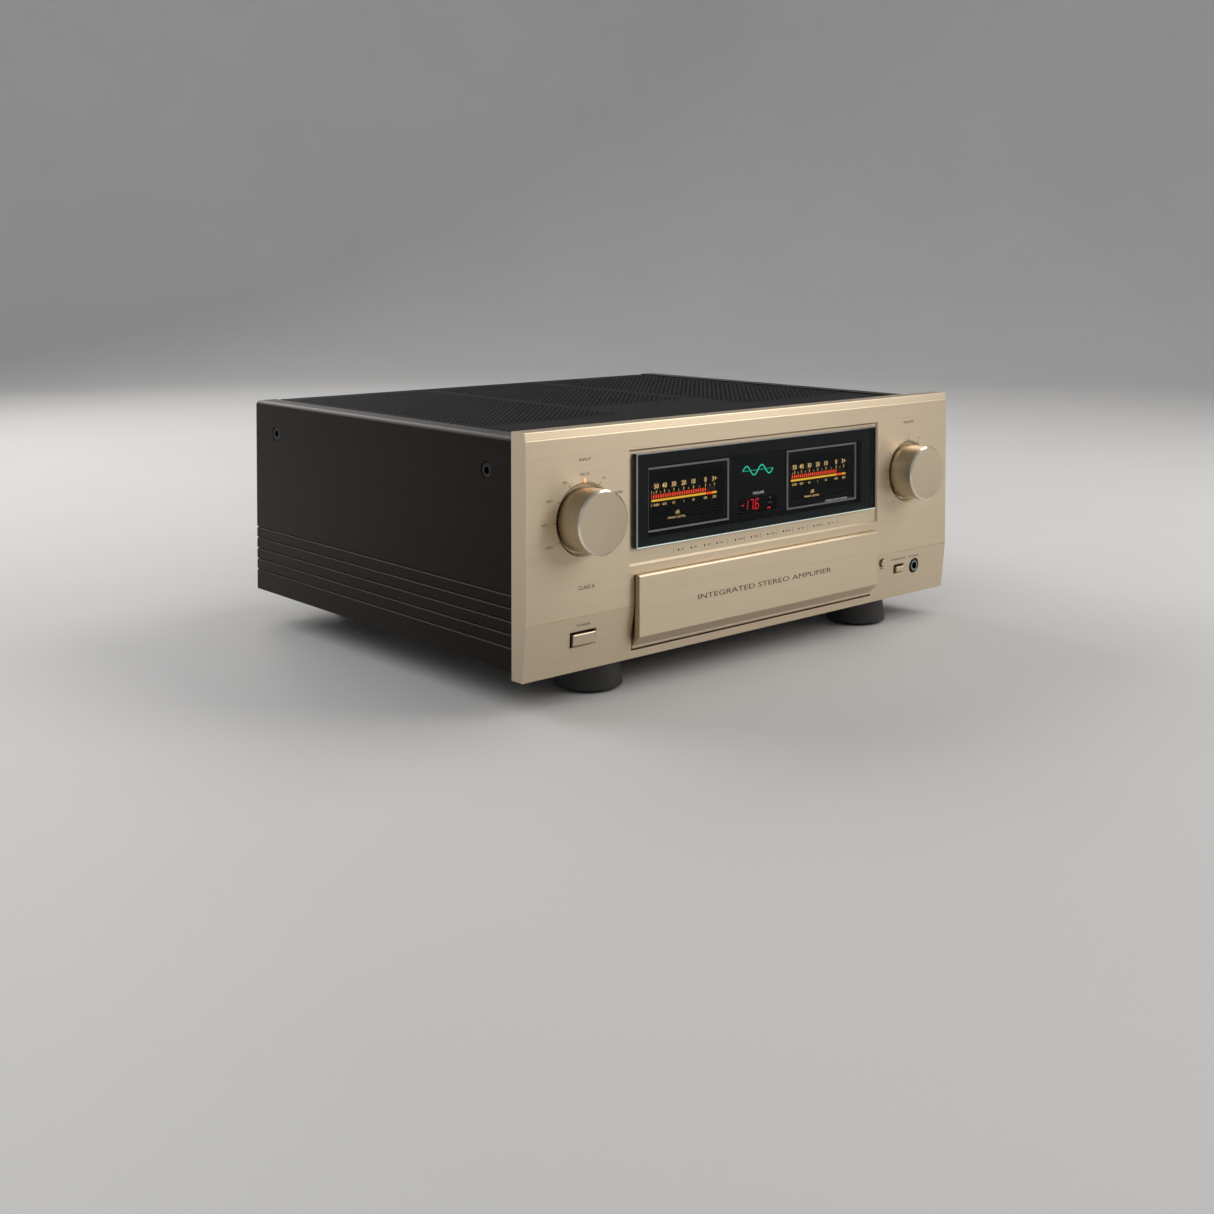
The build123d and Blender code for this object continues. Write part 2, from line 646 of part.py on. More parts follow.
# ================================================================ feet
FOOT_TOP = FOOT_HEIGHT - 0.5
FOOT_SINK_R = 5.0
FOOT_SINK_TOP = 15.0
FOOT_PLACES = [(x, back(y)) for x in (-FOOT_X, FOOT_X) for y in FOOT_Y]

with BuildPart() as feet:
    with BuildSketch(Plane.XY.offset(PAD_T)):
        with Locations(*FOOT_PLACES):
            Circle(FOOT_R)
    extrude(amount=FOOT_TOP - PAD_T, taper=FOOT_TAPER)
    for x, y in FOOT_PLACES:
        rod_z(x, y, FOOT_BOSS_R, (FOOT_TOP, up(TRAY_BOTTOM)))
        rod_z(x, y, FOOT_SINK_R, (PAD_T, FOOT_SINK_TOP), CUT)
        rod_z(x, y, 2.3, (FOOT_SINK_TOP, up(TRAY_BOTTOM)), CUT)
save(feet.part, "feet")

with BuildPart() as foot_pads:
    for x, y in FOOT_PLACES:
        rod_z(x, y, PAD_R, (0, PAD_T))
        rod_z(x, y, FOOT_SINK_R + 1, (0, PAD_T), CUT)
save(foot_pads.part, "foot_pads")

# ================================================================ rear panel
POST_PLACES = [(side * x, z) for side in (-1, 1) for x in POST_X for z in POST_Z]
RCA_PLACES = [
    ((column - (RCA_COLUMNS - 1) / 2) * RCA_PITCH, z)
    for column in range(RCA_COLUMNS)
    for z in RCA_ROWS
]
INLET_BODY = (27.4, 19.4)
INLET_FLANGE = (50.0, 24.0)
INLET_CAVITY = (24.2, 16.6)
COVER_SCREW_X = (-180.0, -60.0, 60.0, 180.0)
COVER_SCREW_Z = 155.5
REAR_SCREWS = [(-218.0, 16.0), (218.0, 16.0), (-218.0, 112.0), (218.0, 112.0)]
SCREW_R = 1.4
SCREW_HEAD_R = 3.0
SLOT_SCREW = 40.0

with BuildPart() as rear_panel:
    block((-REAR_X, REAR_X), behind(*REAR_Y), above(*REAR_Z))
    for x, z in POST_PLACES:
        rod_y(x, up(z), 6.2, behind(*REAR_Y), CUT)
    for x, z in RCA_PLACES:
        rod_y(x, up(z), 4.0, behind(*REAR_Y), CUT)
    for side in (-1, 1):
        rod_y(side * XLR_X, up(XLR_Z), 12.0, behind(*REAR_Y), CUT)
        slot_x = about(side * COVER_SLOT_X, COVER_SLOT[0] - 30)
        block(slot_x, behind(*REAR_Y), about(up(COVER_SLOT_Z), COVER_SLOT[1] - 10), CUT)
        for end in (-SLOT_SCREW, SLOT_SCREW):
            rod_y(side * COVER_SLOT_X + end, up(COVER_SLOT_Z), SCREW_R + GAP, behind(*REAR_Y), CUT)
    block(about(0, INLET_BODY[0] + 0.6), behind(*REAR_Y), about(up(INLET_Z), INLET_BODY[1] + 0.6), CUT)
    for x, z in REAR_SCREWS + [(x, COVER_SCREW_Z) for x in COVER_SCREW_X]:
        rod_y(x, up(z), SCREW_R + GAP, behind(*REAR_Y), CUT)
save(rear_panel.part, "rear_panel")

with BuildPart() as ac_inlet:
    inlet_face = REAR_Y[1] + 3
    block(about(0, INLET_FLANGE[0]), behind(REAR_Y[1], inlet_face), about(up(INLET_Z), INLET_FLANGE[1]))
    block(about(0, INLET_BODY[0]), behind(346, REAR_Y[1]), about(up(INLET_Z), INLET_BODY[1]))
    # The socket has two cut upper corners and three blades standing in it.
    with BuildSketch(Plane.XZ.offset(-back(inlet_face))):
        with Locations((0, up(INLET_Z))):
            mouth = Rectangle(*INLET_CAVITY)
        chamfer(mouth.vertices().group_by(Axis.Y)[-1], 4.5)
    extrude(amount=16, mode=CUT)
    for x, z in ((-7, -2), (7, -2), (0, 2)):
        block(about(x, 2), behind(inlet_face - 16, inlet_face - 9), about(up(INLET_Z + z), 4))
save(ac_inlet.part, "ac_inlet")

with BuildPart() as post_bases:
    base_end = REAR_Y[1] + POST_BASE_T
    for x, z in POST_PLACES:
        rod_y(x, up(z), POST_BASE_R, behind(REAR_Y[1], base_end))
        rod_y(x, up(z), 5.9, behind(362, REAR_Y[1]))
        rod_y(x, up(z), POST_R + 0.02, behind(362, base_end), CUT)
save(post_bases.part, "post_bases")

with BuildPart() as post_studs:
    for x, z in POST_PLACES:
        rod_y(x, up(z), POST_R, behind(356, TERMINAL_END - 2))
save(post_studs.part, "post_studs")


def post_cap(name, place):
    """A scalloped screw cap that clamps a speaker wire on its stud."""
    x, z = place
    with BuildPart() as cap:
        with BuildSketch(Plane.XZ.offset(-back(CAP_FRONT))):
            with Locations((x, up(z))):
                Circle(CAP_R)
                with PolarLocations(CAP_R + 1.2, 8):
                    Circle(2.2, mode=CUT)
        extrude(amount=CAP_FRONT - TERMINAL_END)
        rod_y(x, up(z), POST_R + RUNNING, behind(CAP_FRONT, TERMINAL_END - 1.8), CUT)
    save(cap.part, name)


for number, place in enumerate(POST_PLACES, start=1):
    post_cap(f"post_cap_{number}", place)

with BuildPart() as rca_jacks:
    for x, z in RCA_PLACES:
        rod_y(x, up(z), 5.8, behind(REAR_Y[1], REAR_Y[1] + 1.6))
        rod_y(x, up(z), RCA_R, behind(REAR_Y[1], REAR_Y[1] + 10))
        rod_y(x, up(z), 3.6, behind(REAR_Y[0] - 3, REAR_Y[1]))
        rod_y(x, up(z), 1.6, behind(REAR_Y[1] + 2, REAR_Y[1] + 10), CUT)
save(rca_jacks.part, "rca_jacks")

with BuildPart() as xlr_sockets:
    for side in (-1, 1):
        x = side * XLR_X
        block(about(x, 26), behind(REAR_Y[1], REAR_Y[1] + 2), about(up(XLR_Z), 31))
        rod_y(x, up(XLR_Z), 11.7, behind(348, REAR_Y[1]))
        rod_y(x, up(XLR_Z), 9.6, behind(REAR_Y[1] - 10, REAR_Y[1] + 2), CUT)
        rod_y(x, up(XLR_Z), 7.6, behind(REAR_Y[1] - 10, REAR_Y[1] + 1.5))
        with Locations((x, back(REAR_Y[1] - 2), up(XLR_Z) + 1)):
            with Locations(Rotation(90, 0, 0)):
                with PolarLocations(3.8, 3, start_angle=30):
                    Cylinder(1.4, 12, mode=CUT)
save(xlr_sockets.part, "xlr_sockets")

with BuildPart() as option_covers:
    plate_y = (REAR_Y[1], REAR_Y[1] + TRAY_T)
    for side in (-1, 1):
        x = side * COVER_SLOT_X
        block(about(x, COVER_SLOT[0]), behind(*plate_y), about(up(COVER_SLOT_Z), COVER_SLOT[1]))
        for end in (-SLOT_SCREW, SLOT_SCREW):
            rod_y(x + end, up(COVER_SLOT_Z), 4.5, behind(plate_y[1], plate_y[1] + 6))
            rod_y(x + end, up(COVER_SLOT_Z), SCREW_R, behind(REAR_Y[0] - 3, plate_y[0]))
save(option_covers.part, "option_covers")

with BuildPart() as case_screws:
    for x in COVER_SCREW_X:
        rod_y(x, up(COVER_SCREW_Z), SCREW_HEAD_R, behind(COVER_REAR, COVER_REAR + 1.8))
    for x, z in REAR_SCREWS:
        rod_y(x, up(z), SCREW_HEAD_R, behind(REAR_Y[1], REAR_Y[1] + 1.8))
        rod_y(x, up(z), SCREW_R, behind(REAR_Y[0] - 4, REAR_Y[1]))
    for x, y in FOOT_PLACES:
        rod_z(x, y, 4.0, (FOOT_SINK_TOP - 3, FOOT_SINK_TOP))
        rod_z(x, y, 2.0, (FOOT_SINK_TOP, up(TRAY_BOTTOM + TRAY_T + 3)))
save(case_screws.part, "case_screws")

# ================================================================ inside
INSIDE_FLOOR = TRAY_BOTTOM + TRAY_T

with BuildPart() as transformer:
    rod_z(0, back(125), 60, above(INSIDE_FLOOR, 104))
    fillet(transformer.edges().group_by(Axis.Z)[-1], 8)
    rod_z(0, back(125), 9, above(104, 108))
save(transformer.part, "transformer")

with BuildPart() as filter_capacitors:
    for x in (-42, 42):
        rod_z(x, back(238), 36, above(INSIDE_FLOOR, 112))
        for terminal in (-12, 12):
            rod_z(x + terminal, back(238), 5, above(112, 117))
save(filter_capacitors.part, "filter_capacitors")

FIN_COUNT = 17
FIN_PITCH = 15.0
SINK_X = (118.0, 126.0, 200.0)
SINK_MIDDLE = 200.0

with BuildPart() as heat_sinks:
    with BuildSketch(Plane.XY.offset(up(INSIDE_FLOOR))):
        for side in (-1, 1):
            length = (FIN_COUNT - 1) * FIN_PITCH + 2
            with Locations((side * (SINK_X[0] + SINK_X[1]) / 2, back(SINK_MIDDLE))):
                Rectangle(SINK_X[1] - SINK_X[0], length)
            with Locations((side * (SINK_X[1] + SINK_X[2]) / 2, back(SINK_MIDDLE))):
                with GridLocations(1, FIN_PITCH, 1, FIN_COUNT):
                    Rectangle(SINK_X[2] - SINK_X[1], 2)
    extrude(amount=142)
save(heat_sinks.part, "heat_sinks")

with BuildPart() as output_transistors:
    for side in (-1, 1):
        for place in range(5):
            y = 110 + 45 * place
            wall = sorted((side * (SINK_X[0] - 5), side * SINK_X[0]))
            block(wall, behind(y, y + 16), above(84, 104))
save(output_transistors.part, "output_transistors")

with BuildPart() as preamp_board:
    block((-118, 118), behind(360, 361.6), above(60, 108))
save(preamp_board.part, "preamp_board")
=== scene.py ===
"""The looks of a full-width integrated stereo amplifier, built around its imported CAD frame.

Everything is in metres in the frame's own axes. Sizes below that name millimetres are turned
into metres by MM, and at() places a point relative to the front panel's face and lower edge.
"""

import json
import math

import bmesh
import bpy
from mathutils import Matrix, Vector


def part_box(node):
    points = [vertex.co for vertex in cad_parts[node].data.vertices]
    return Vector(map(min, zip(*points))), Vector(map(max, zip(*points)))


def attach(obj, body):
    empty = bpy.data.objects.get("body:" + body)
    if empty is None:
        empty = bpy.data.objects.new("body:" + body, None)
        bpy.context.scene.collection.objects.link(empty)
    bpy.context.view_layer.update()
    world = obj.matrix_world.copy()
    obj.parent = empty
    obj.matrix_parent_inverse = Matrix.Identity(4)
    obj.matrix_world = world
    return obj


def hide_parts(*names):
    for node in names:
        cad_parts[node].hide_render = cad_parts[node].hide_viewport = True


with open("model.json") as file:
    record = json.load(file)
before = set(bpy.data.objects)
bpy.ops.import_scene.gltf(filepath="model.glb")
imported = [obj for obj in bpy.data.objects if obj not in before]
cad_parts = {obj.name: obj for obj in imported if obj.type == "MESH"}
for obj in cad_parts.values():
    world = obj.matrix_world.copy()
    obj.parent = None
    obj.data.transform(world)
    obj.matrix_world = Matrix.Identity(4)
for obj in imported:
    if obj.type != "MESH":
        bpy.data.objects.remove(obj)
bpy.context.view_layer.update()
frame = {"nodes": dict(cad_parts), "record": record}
nodes = frame["nodes"]

MM = 0.001
PANEL_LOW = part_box("front_panel")[0]
FACE_Y = PANEL_LOW.y
BASE_Z = PANEL_LOW.z


def at(x, behind, height):
    """A point x mm right of the middle, behind mm behind the face, height mm above the panel's foot."""
    return Vector((x * MM, FACE_Y + behind * MM, BASE_Z + height * MM))


def behind_of(y):
    """How many mm a frame y lies behind the front panel's face."""
    return (y - FACE_Y) / MM


def height_of(z):
    """How many mm a frame z lies above the front panel's lower edge."""
    return (z - BASE_Z) / MM


def middle_of(node):
    """The middle of a CAD piece as mm right of the middle and mm above the panel's lower edge."""
    low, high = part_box(node)
    return (low.x + high.x) / 2 / MM, height_of((low.z + high.z) / 2)


def around(middle, reach, degrees):
    """The (x, height) point at that reach from a dial's middle, clockwise from straight up."""
    angle = math.radians(degrees)
    return middle[0] + reach * math.sin(angle), middle[1] + reach * math.cos(angle)


# ================ stage
def add_camera():
    """The camera stands in front and to the left, a little above the amplifier, and looks slightly down."""
    data = bpy.data.cameras.new("camera")
    data.sensor_width = 36.0
    data.lens = 45.11
    data.shift_y = -0.2491
    data.clip_start = 0.05
    camera = bpy.data.objects.new("camera", data)
    yaw, pitch = 0.7222, -0.0311
    level = math.cos(pitch)
    look = Vector((math.sin(yaw) * level, math.cos(yaw) * level, math.sin(pitch)))
    camera.location = (-0.8603, -0.9888, 0.3085)
    camera.rotation_mode = "QUATERNION"
    camera.rotation_quaternion = look.to_track_quat("-Z", "Y")
    bpy.context.scene.collection.objects.link(camera)
    bpy.context.scene.camera = camera


def add_softbox(name, place, size, watts, colour):
    """A rectangular soft light that faces the amplifier's middle."""
    data = bpy.data.lights.new(name, "AREA")
    data.shape = "RECTANGLE"
    data.size, data.size_y = size
    data.energy = watts
    data.color = colour
    light = bpy.data.objects.new(name, data)
    light.location = place
    aim = Vector((0.0, 0.0, 0.09)) - Vector(place)
    light.rotation_mode = "QUATERNION"
    light.rotation_quaternion = aim.to_track_quat("-Z", "Y")
    bpy.context.scene.collection.objects.link(light)


def add_studio():
    """A pale floor that sweeps up all round into a low wall, a soft sky and four soft lights."""
    flat_radius, bend_radius, wall_top = 2.6, 1.4, 3.2
    turns, bends = 96, 12
    profile = [(0.0, 0.0), (flat_radius, 0.0)]
    for step in range(1, bends + 1):
        angle = math.pi / 2 * step / bends
        rise = bend_radius * (1 - math.cos(angle))
        profile.append((flat_radius + bend_radius * math.sin(angle), rise))
    profile.append((flat_radius + bend_radius, wall_top))
    floor = lathe("studio_floor", profile, turns, axis="Z")
    floor.data.materials.append(pale_floor())

    world = bpy.data.worlds.new("soft_sky")
    world.use_nodes = True
    sky = world.node_tree.nodes["Background"]
    sky.inputs["Color"].default_value = (0.93, 0.95, 1.0, 1.0)
    sky.inputs["Strength"].default_value = 0.24
    bpy.context.scene.world = world
    bpy.context.scene.view_settings.view_transform = "Standard"

    add_softbox("key", (1.30, -1.42, 1.05), (0.9, 1.1), 10.5, (1.0, 0.97, 0.93))
    add_softbox("fill", (-1.8, -0.6, 1.4), (1.4, 0.9), 2.8, (0.95, 0.97, 1.0))
    add_softbox("top", (-0.45, 1.75, 1.35), (2.4, 1.1), 25, (1.0, 0.98, 0.96))
    add_softbox("edge", (1.45, -0.35, 1.75), (1.5, 0.8), 12, (1.0, 0.98, 0.95))


# ================ mesh building
def new_object(name, mesh):
    """Links a mesh as an object of the scene."""
    made = bpy.data.objects.new(name, mesh)
    bpy.context.scene.collection.objects.link(made)
    return made


def mesh_object(name, points, faces):
    """An object from points and faces."""
    mesh = bpy.data.meshes.new(name)
    mesh.from_pydata([tuple(point) for point in points], [], faces)
    mesh.update()
    return new_object(name, mesh)


def shade(made, degrees=30.0):
    """Smooth shading that keeps edges sharper than that angle."""
    mesh = made.data
    mesh.polygons.foreach_set("use_smooth", [True] * len(mesh.polygons))
    mesh.set_sharp_from_angle(angle=math.radians(degrees))
    return made


def lathe(name, profile, turns, axis="Y", centre=(0, 0, 0), closed=False):
    """A turned shape: profile is (radius, distance along the axis), and a radius of 0 closes an end.

    Axis "Y" puts the distance along +Y and "Z" along +Z. The object's origin is the centre.
    closed joins the last point of the profile to the first, which makes a ring.
    """
    points = []
    rings = []
    for radius, along in profile:
        ring = []
        count = turns if radius > 0 else 1
        for turn in range(count):
            angle = 2 * math.pi * turn / turns
            u, v = radius * math.cos(angle), radius * math.sin(angle)
            ring.append(len(points))
            points.append((u, along, v) if axis == "Y" else (u, v, along))
        rings.append(ring)
    faces = []
    pairs = list(zip(rings, rings[1:]))
    if closed:
        pairs.append((rings[-1], rings[0]))
    for low, high in pairs:
        for turn in range(turns):
            after = (turn + 1) % turns
            if len(low) == 1:
                faces.append((low[0], high[after], high[turn]))
            elif len(high) == 1:
                faces.append((low[turn], low[after], high[0]))
            else:
                faces.append((low[turn], low[after], high[after], high[turn]))
    made = mesh_object(name, points, faces)
    tidy = bmesh.new()
    tidy.from_mesh(made.data)
    bmesh.ops.recalc_face_normals(tidy, faces=tidy.faces)
    tidy.to_mesh(made.data)
    tidy.free()
    made.location = centre
    return shade(made)


def join(name, pieces):
    """Joins several objects into one, with that name."""
    bpy.ops.object.select_all(action="DESELECT")
    for piece in pieces:
        piece.select_set(True)
    bpy.context.view_layer.objects.active = pieces[0]
    if len(pieces) > 1:
        bpy.ops.object.join()
    pieces[0].name = name
    pieces[0].data.name = name
    return pieces[0]


# How thick printed and lit marks are, in mm.
MARK_DEPTH = 0.04


class Marks:
    """Collects flat prisms that are printed or lit marks and makes them one object.

    Their outer faces lie front mm behind the panel's face.
    """

    def __init__(self, name, front, thickness=MARK_DEPTH):
        self.name = name
        self.front = front
        self.thickness = thickness
        self.points = []
        self.faces = []

    def shape(self, corners):
        """A flat prism whose corners are (x, height) pairs in mm."""
        start, count = len(self.points), len(corners)
        for depth in (self.front, self.front + self.thickness):
            self.points += [at(x, depth, z) for x, z in corners]
        faces = [tuple(range(count)), tuple(reversed(range(count, 2 * count)))]
        for place in range(count):
            after = (place + 1) % count
            faces.append((place, place + count, after + count, after))
        self.faces += [tuple(index + start for index in face) for face in faces]

    def bar(self, x, z):
        """A rectangle between two x and two height limits."""
        self.shape([(x[0], z[0]), (x[1], z[0]), (x[1], z[1]), (x[0], z[1])])

    def line(self, start, end, width):
        """A straight stroke of that width."""
        (x0, z0), (x1, z1) = start, end
        length = math.hypot(x1 - x0, z1 - z0)
        across = ((z0 - z1) / length * width / 2, (x1 - x0) / length * width / 2)
        self.shape(
            [
                (x0 - across[0], z0 - across[1]),
                (x1 - across[0], z1 - across[1]),
                (x1 + across[0], z1 + across[1]),
                (x0 + across[0], z0 + across[1]),
            ]
        )

    def dot(self, x, z, radius, sides=16):
        """A round dot."""
        turn = 2 * math.pi / sides
        self.shape(
            [
                (x + radius * math.cos(turn * side), z + radius * math.sin(turn * side))
                for side in range(sides)
            ]
        )

    def spokes(self, middle, inner, outer, angles, width):
        """Dial marks that point away from a dial's middle, at angles in degrees from straight up."""
        for angle in angles:
            self.line(around(middle, inner, angle), around(middle, outer, angle), width)

    def made(self):
        return mesh_object(self.name, self.points, self.faces)


# Height of the built-in font's capitals in text of size 1.
CAPITAL_HEIGHT = 0.729


def words(text, x, z, capital, front, width=None, bold=0.0, rear=False):
    """Generic lettering, centred at (x, height) mm, with capitals of that height in mm.

    width squeezes or widens the line to that many mm. Its outer face lies front mm behind the
    panel's face. rear turns it to be read from behind.
    """
    curve = bpy.data.curves.new("lettering", "FONT")
    curve.body = text
    curve.align_x = "CENTER"
    curve.align_y = "CENTER"
    curve.size = 1.0
    curve.offset = bold
    curve.resolution_u = 3
    holder = bpy.data.objects.new("lettering", curve)
    bpy.context.scene.collection.objects.link(holder)
    bpy.context.view_layer.update()
    shaped = holder.evaluated_get(bpy.context.evaluated_depsgraph_get())
    mesh = bpy.data.meshes.new_from_object(shaped)
    bpy.data.objects.remove(holder)
    across = [vertex.co.x for vertex in mesh.vertices]
    up = [vertex.co.y for vertex in mesh.vertices]
    tall = capital * MM / CAPITAL_HEIGHT
    wide = tall if width is None else width * MM / (max(across) - min(across))
    middle_x = (min(across) + max(across)) / 2
    middle_z = (min(up) + max(up)) / 2
    place = at(x, front, z)
    sense = -1 if rear else 1
    for vertex in mesh.vertices:
        flat_x = (vertex.co.x - middle_x) * wide * sense
        flat_z = (vertex.co.y - middle_z) * tall
        vertex.co = (place.x + flat_x, place.y, place.z + flat_z)
    made = new_object("lettering", mesh)
    solid = bmesh.new()
    solid.from_mesh(mesh)
    bmesh.ops.remove_doubles(solid, verts=solid.verts, dist=1e-7)
    grown = bmesh.ops.extrude_face_region(solid, geom=list(solid.faces))
    raised = [item for item in grown["geom"] if isinstance(item, bmesh.types.BMVert)]
    bmesh.ops.translate(solid, verts=raised, vec=(0, MARK_DEPTH * MM * sense, 0))
    bmesh.ops.recalc_face_normals(solid, faces=solid.faces)
    solid.to_mesh(mesh)
    solid.free()
    return made


# ================ materials
class Recipe:
    """A node material being written: one Principled shader and what feeds it."""

    def __init__(self, name, colour, rough, metal=0.0, **sockets):
        self.material = bpy.data.materials.new(name)
        self.material.use_nodes = True
        self.tree = self.material.node_tree
        self.shader = self.tree.nodes["Principled BSDF"]
        self.coordinates = self.node("ShaderNodeTexCoord").outputs["Object"]
        self.set("Base Color", (*colour, 1.0))
        self.set("Roughness", rough)
        self.set("Metallic", metal)
        for socket, value in sockets.items():
            self.set(socket.replace("_", " "), value)
        self.height = None

    def node(self, kind, values=None, **settings):
        """Adds a node with those settings, and those values on its inputs."""
        made = self.tree.nodes.new(kind)
        for setting, value in settings.items():
            setattr(made, setting, value)
        for socket, value in (values or {}).items():
            made.inputs[socket].default_value = value
        return made

    def set(self, socket, value):
        self.shader.inputs[socket].default_value = value

    def link(self, output, target):
        self.tree.links.new(output, target)

    def scaled(self, scale):
        """The coordinates, stretched by a scale in cycles per metre on each axis."""
        mapping = self.node("ShaderNodeMapping", {"Scale": scale})
        self.link(self.coordinates, mapping.inputs["Vector"])
        return mapping.outputs["Vector"]

    def noise(self, scale, detail=3.0, rough=0.55):
        """Noise from 0 to 1 with that many cycles per metre, or as many as given for each axis."""
        if isinstance(scale, (int, float)):
            scale = (scale, scale, scale)
        values = {"Scale": 1.0, "Detail": detail, "Roughness": rough}
        made = self.node("ShaderNodeTexNoise", values)
        self.link(self.scaled(scale), made.inputs["Vector"])
        return made.outputs["Fac"]

    def between(self, factor, low, high):
        """The factor, spread from the middle of its range to lie between two values."""
        values = {"From Min": 0.3, "From Max": 0.7, "To Min": low, "To Max": high}
        made = self.node("ShaderNodeMapRange", values)
        self.link(factor, made.inputs["Value"])
        return made.outputs["Result"]

    def maths(self, operation, first, second):
        """One operation on two values, each an output or a number."""
        made = self.node("ShaderNodeMath", operation=operation)
        for socket, value in zip(made.inputs, (first, second)):
            if isinstance(value, (int, float)):
                socket.default_value = value
            else:
                self.link(value, socket)
        return made.outputs["Value"]

    def weighted(self, first, share, second):
        """That share of the first factor, and the rest of the second."""
        part = self.maths("MULTIPLY", first, share)
        rest = self.maths("MULTIPLY", second, 1 - share)
        return self.maths("ADD", part, rest)

    def mixed(self, factor, dark, light):
        """A colour that goes from dark to light with the factor."""
        ends = {"A": (*dark, 1.0), "B": (*light, 1.0)}
        mix = self.node("ShaderNodeMix", ends, data_type="RGBA")
        self.link(self.between(factor, 0.0, 1.0), mix.inputs["Factor"])
        return mix.outputs["Result"]

    def vary_colour(self, factor, dark, light):
        """The base colour goes from dark to light with the factor."""
        self.link(self.mixed(factor, dark, light), self.shader.inputs["Base Color"])

    def vary_rough(self, factor, low, high):
        """The roughness goes from low to high with the factor."""
        self.link(self.between(factor, low, high), self.shader.inputs["Roughness"])

    def bump(self, factor, depth, strength=1.0):
        """Raises the surface by the factor times depth, in mm, on top of earlier bumps."""
        made = self.node("ShaderNodeBump", {"Distance": depth * MM, "Strength": strength})
        self.link(factor, made.inputs["Height"])
        if self.height is not None:
            self.link(self.height, made.inputs["Normal"])
        self.height = made.outputs["Normal"]
        self.link(self.height, self.shader.inputs["Normal"])

    def surface(self, shader):
        """Another shader takes the place of the Principled one."""
        output = next(node for node in self.tree.nodes if node.type == "OUTPUT_MATERIAL")
        self.link(shader, output.inputs["Surface"])

    def brushed_along(self, direction):
        """Highlights spread across brushing that runs along the direction."""
        tangent = self.node("ShaderNodeCombineXYZ")
        for socket, value in zip(tangent.inputs, direction):
            socket.default_value = value
        self.link(tangent.outputs["Vector"], self.shader.inputs["Tangent"])


def shades(colour, spread):
    """A darker and a lighter shade of a colour."""
    dark = tuple(channel * (1 - spread) for channel in colour)
    light = tuple(min(1.0, channel * (1 + spread)) for channel in colour)
    return dark, light


# Base colours of the anodised gold on the panel, and on the knobs and buttons.
GOLD = (0.645, 0.535, 0.392)
GOLD_KNOB = (0.63, 0.525, 0.385)


def pale_floor():
    """The studio's matt floor."""
    colour = (0.80, 0.795, 0.785)
    recipe = Recipe("pale_floor", colour, 0.55, Specular_IOR_Level=0.25)
    cloud = recipe.noise(3, detail=2.0)
    recipe.vary_colour(cloud, *shades(colour, 0.015))
    return recipe.material


def brushed_metal(name, colour, along, rough, spread=0.035, fine=4200.0, depth=0.0035):
    """Brushed and anodised metal. along is the axis, 0 to 2, that the hairlines run along.

    fine is the hairlines across in cycles per metre, and depth is their depth in mm.
    """
    recipe = Recipe(name, colour, rough, metal=1.0, Anisotropic=0.7)
    hair = [fine, fine, fine]
    hair[along] = 35.0
    streak = [620.0, 620.0, 620.0]
    streak[along] = 5.0
    hairlines = recipe.noise(hair, detail=2.0, rough=0.6)
    streaks = recipe.noise(streak, detail=4.0, rough=0.65)
    cloud = recipe.noise(9, detail=2.0)
    recipe.vary_colour(streaks, *shades(colour, spread))
    recipe.vary_rough(recipe.weighted(streaks, 0.75, cloud), rough - 0.02, rough + 0.025)
    recipe.bump(hairlines, depth, 0.6)
    recipe.bump(streaks, depth * 0.3, 0.3)
    spread_axis = [0.0, 0.0, 1.0] if along != 2 else [1.0, 0.0, 0.0]
    recipe.brushed_along(spread_axis)
    return recipe.material


def satin_gold():
    """Fine blasted and anodised aluminium, for knobs and buttons."""
    recipe = Recipe("gold_knob", GOLD_KNOB, 0.3, metal=1.0)
    grain = recipe.noise(5200, detail=1.0)
    cloud = recipe.noise(60)
    recipe.vary_colour(cloud, *shades(GOLD_KNOB, 0.025))
    recipe.vary_rough(cloud, 0.29, 0.34)
    recipe.bump(grain, 0.004, 0.35)
    return recipe.material


def turned_gold():
    """Aluminium turned on a lathe, with very fine rings about the piece's own Y axis."""
    colour = (0.73, 0.635, 0.495)
    rings_per_metre = 3600.0
    recipe = Recipe("turned_gold", colour, 0.3, metal=1.0, Anisotropic=0.35, Anisotropic_Rotation=0.25)
    apart = recipe.node("ShaderNodeSeparateXYZ")
    recipe.link(recipe.coordinates, apart.inputs["Vector"])
    across = recipe.maths("POWER", apart.outputs["X"], 2.0)
    upright = recipe.maths("POWER", apart.outputs["Z"], 2.0)
    radius = recipe.maths("SQRT", recipe.maths("ADD", across, upright), 0.0)
    ring = recipe.node("ShaderNodeCombineXYZ")
    recipe.link(recipe.maths("MULTIPLY", radius, rings_per_metre), ring.inputs["X"])
    along = recipe.maths("MULTIPLY", apart.outputs["Y"], rings_per_metre)
    recipe.link(along, ring.inputs["Y"])
    rings = recipe.node("ShaderNodeTexNoise", {"Scale": 1.0, "Detail": 2.0})
    recipe.link(ring.outputs["Vector"], rings.inputs["Vector"])
    cloud = recipe.noise(45)
    recipe.vary_colour(rings.outputs["Fac"], *shades(colour, 0.03))
    recipe.vary_rough(cloud, 0.27, 0.33)
    recipe.bump(rings.outputs["Fac"], 0.003, 0.5)
    tangent = recipe.node("ShaderNodeTangent", direction_type="RADIAL", axis="Y")
    recipe.link(tangent.outputs["Tangent"], recipe.shader.inputs["Tangent"])
    return recipe.material


def clouded(name, colour, rough, scale, spread, detail=3.0, metal=0.0, **sockets):
    """A smooth surface with soft patches: its roughness lies between the two that rough gives."""
    recipe = Recipe(name, colour, rough[0], metal=metal, **sockets)
    cloud = recipe.noise(scale, detail=detail)
    recipe.vary_colour(cloud, *shades(colour, spread))
    recipe.vary_rough(cloud, *rough)
    return recipe.material


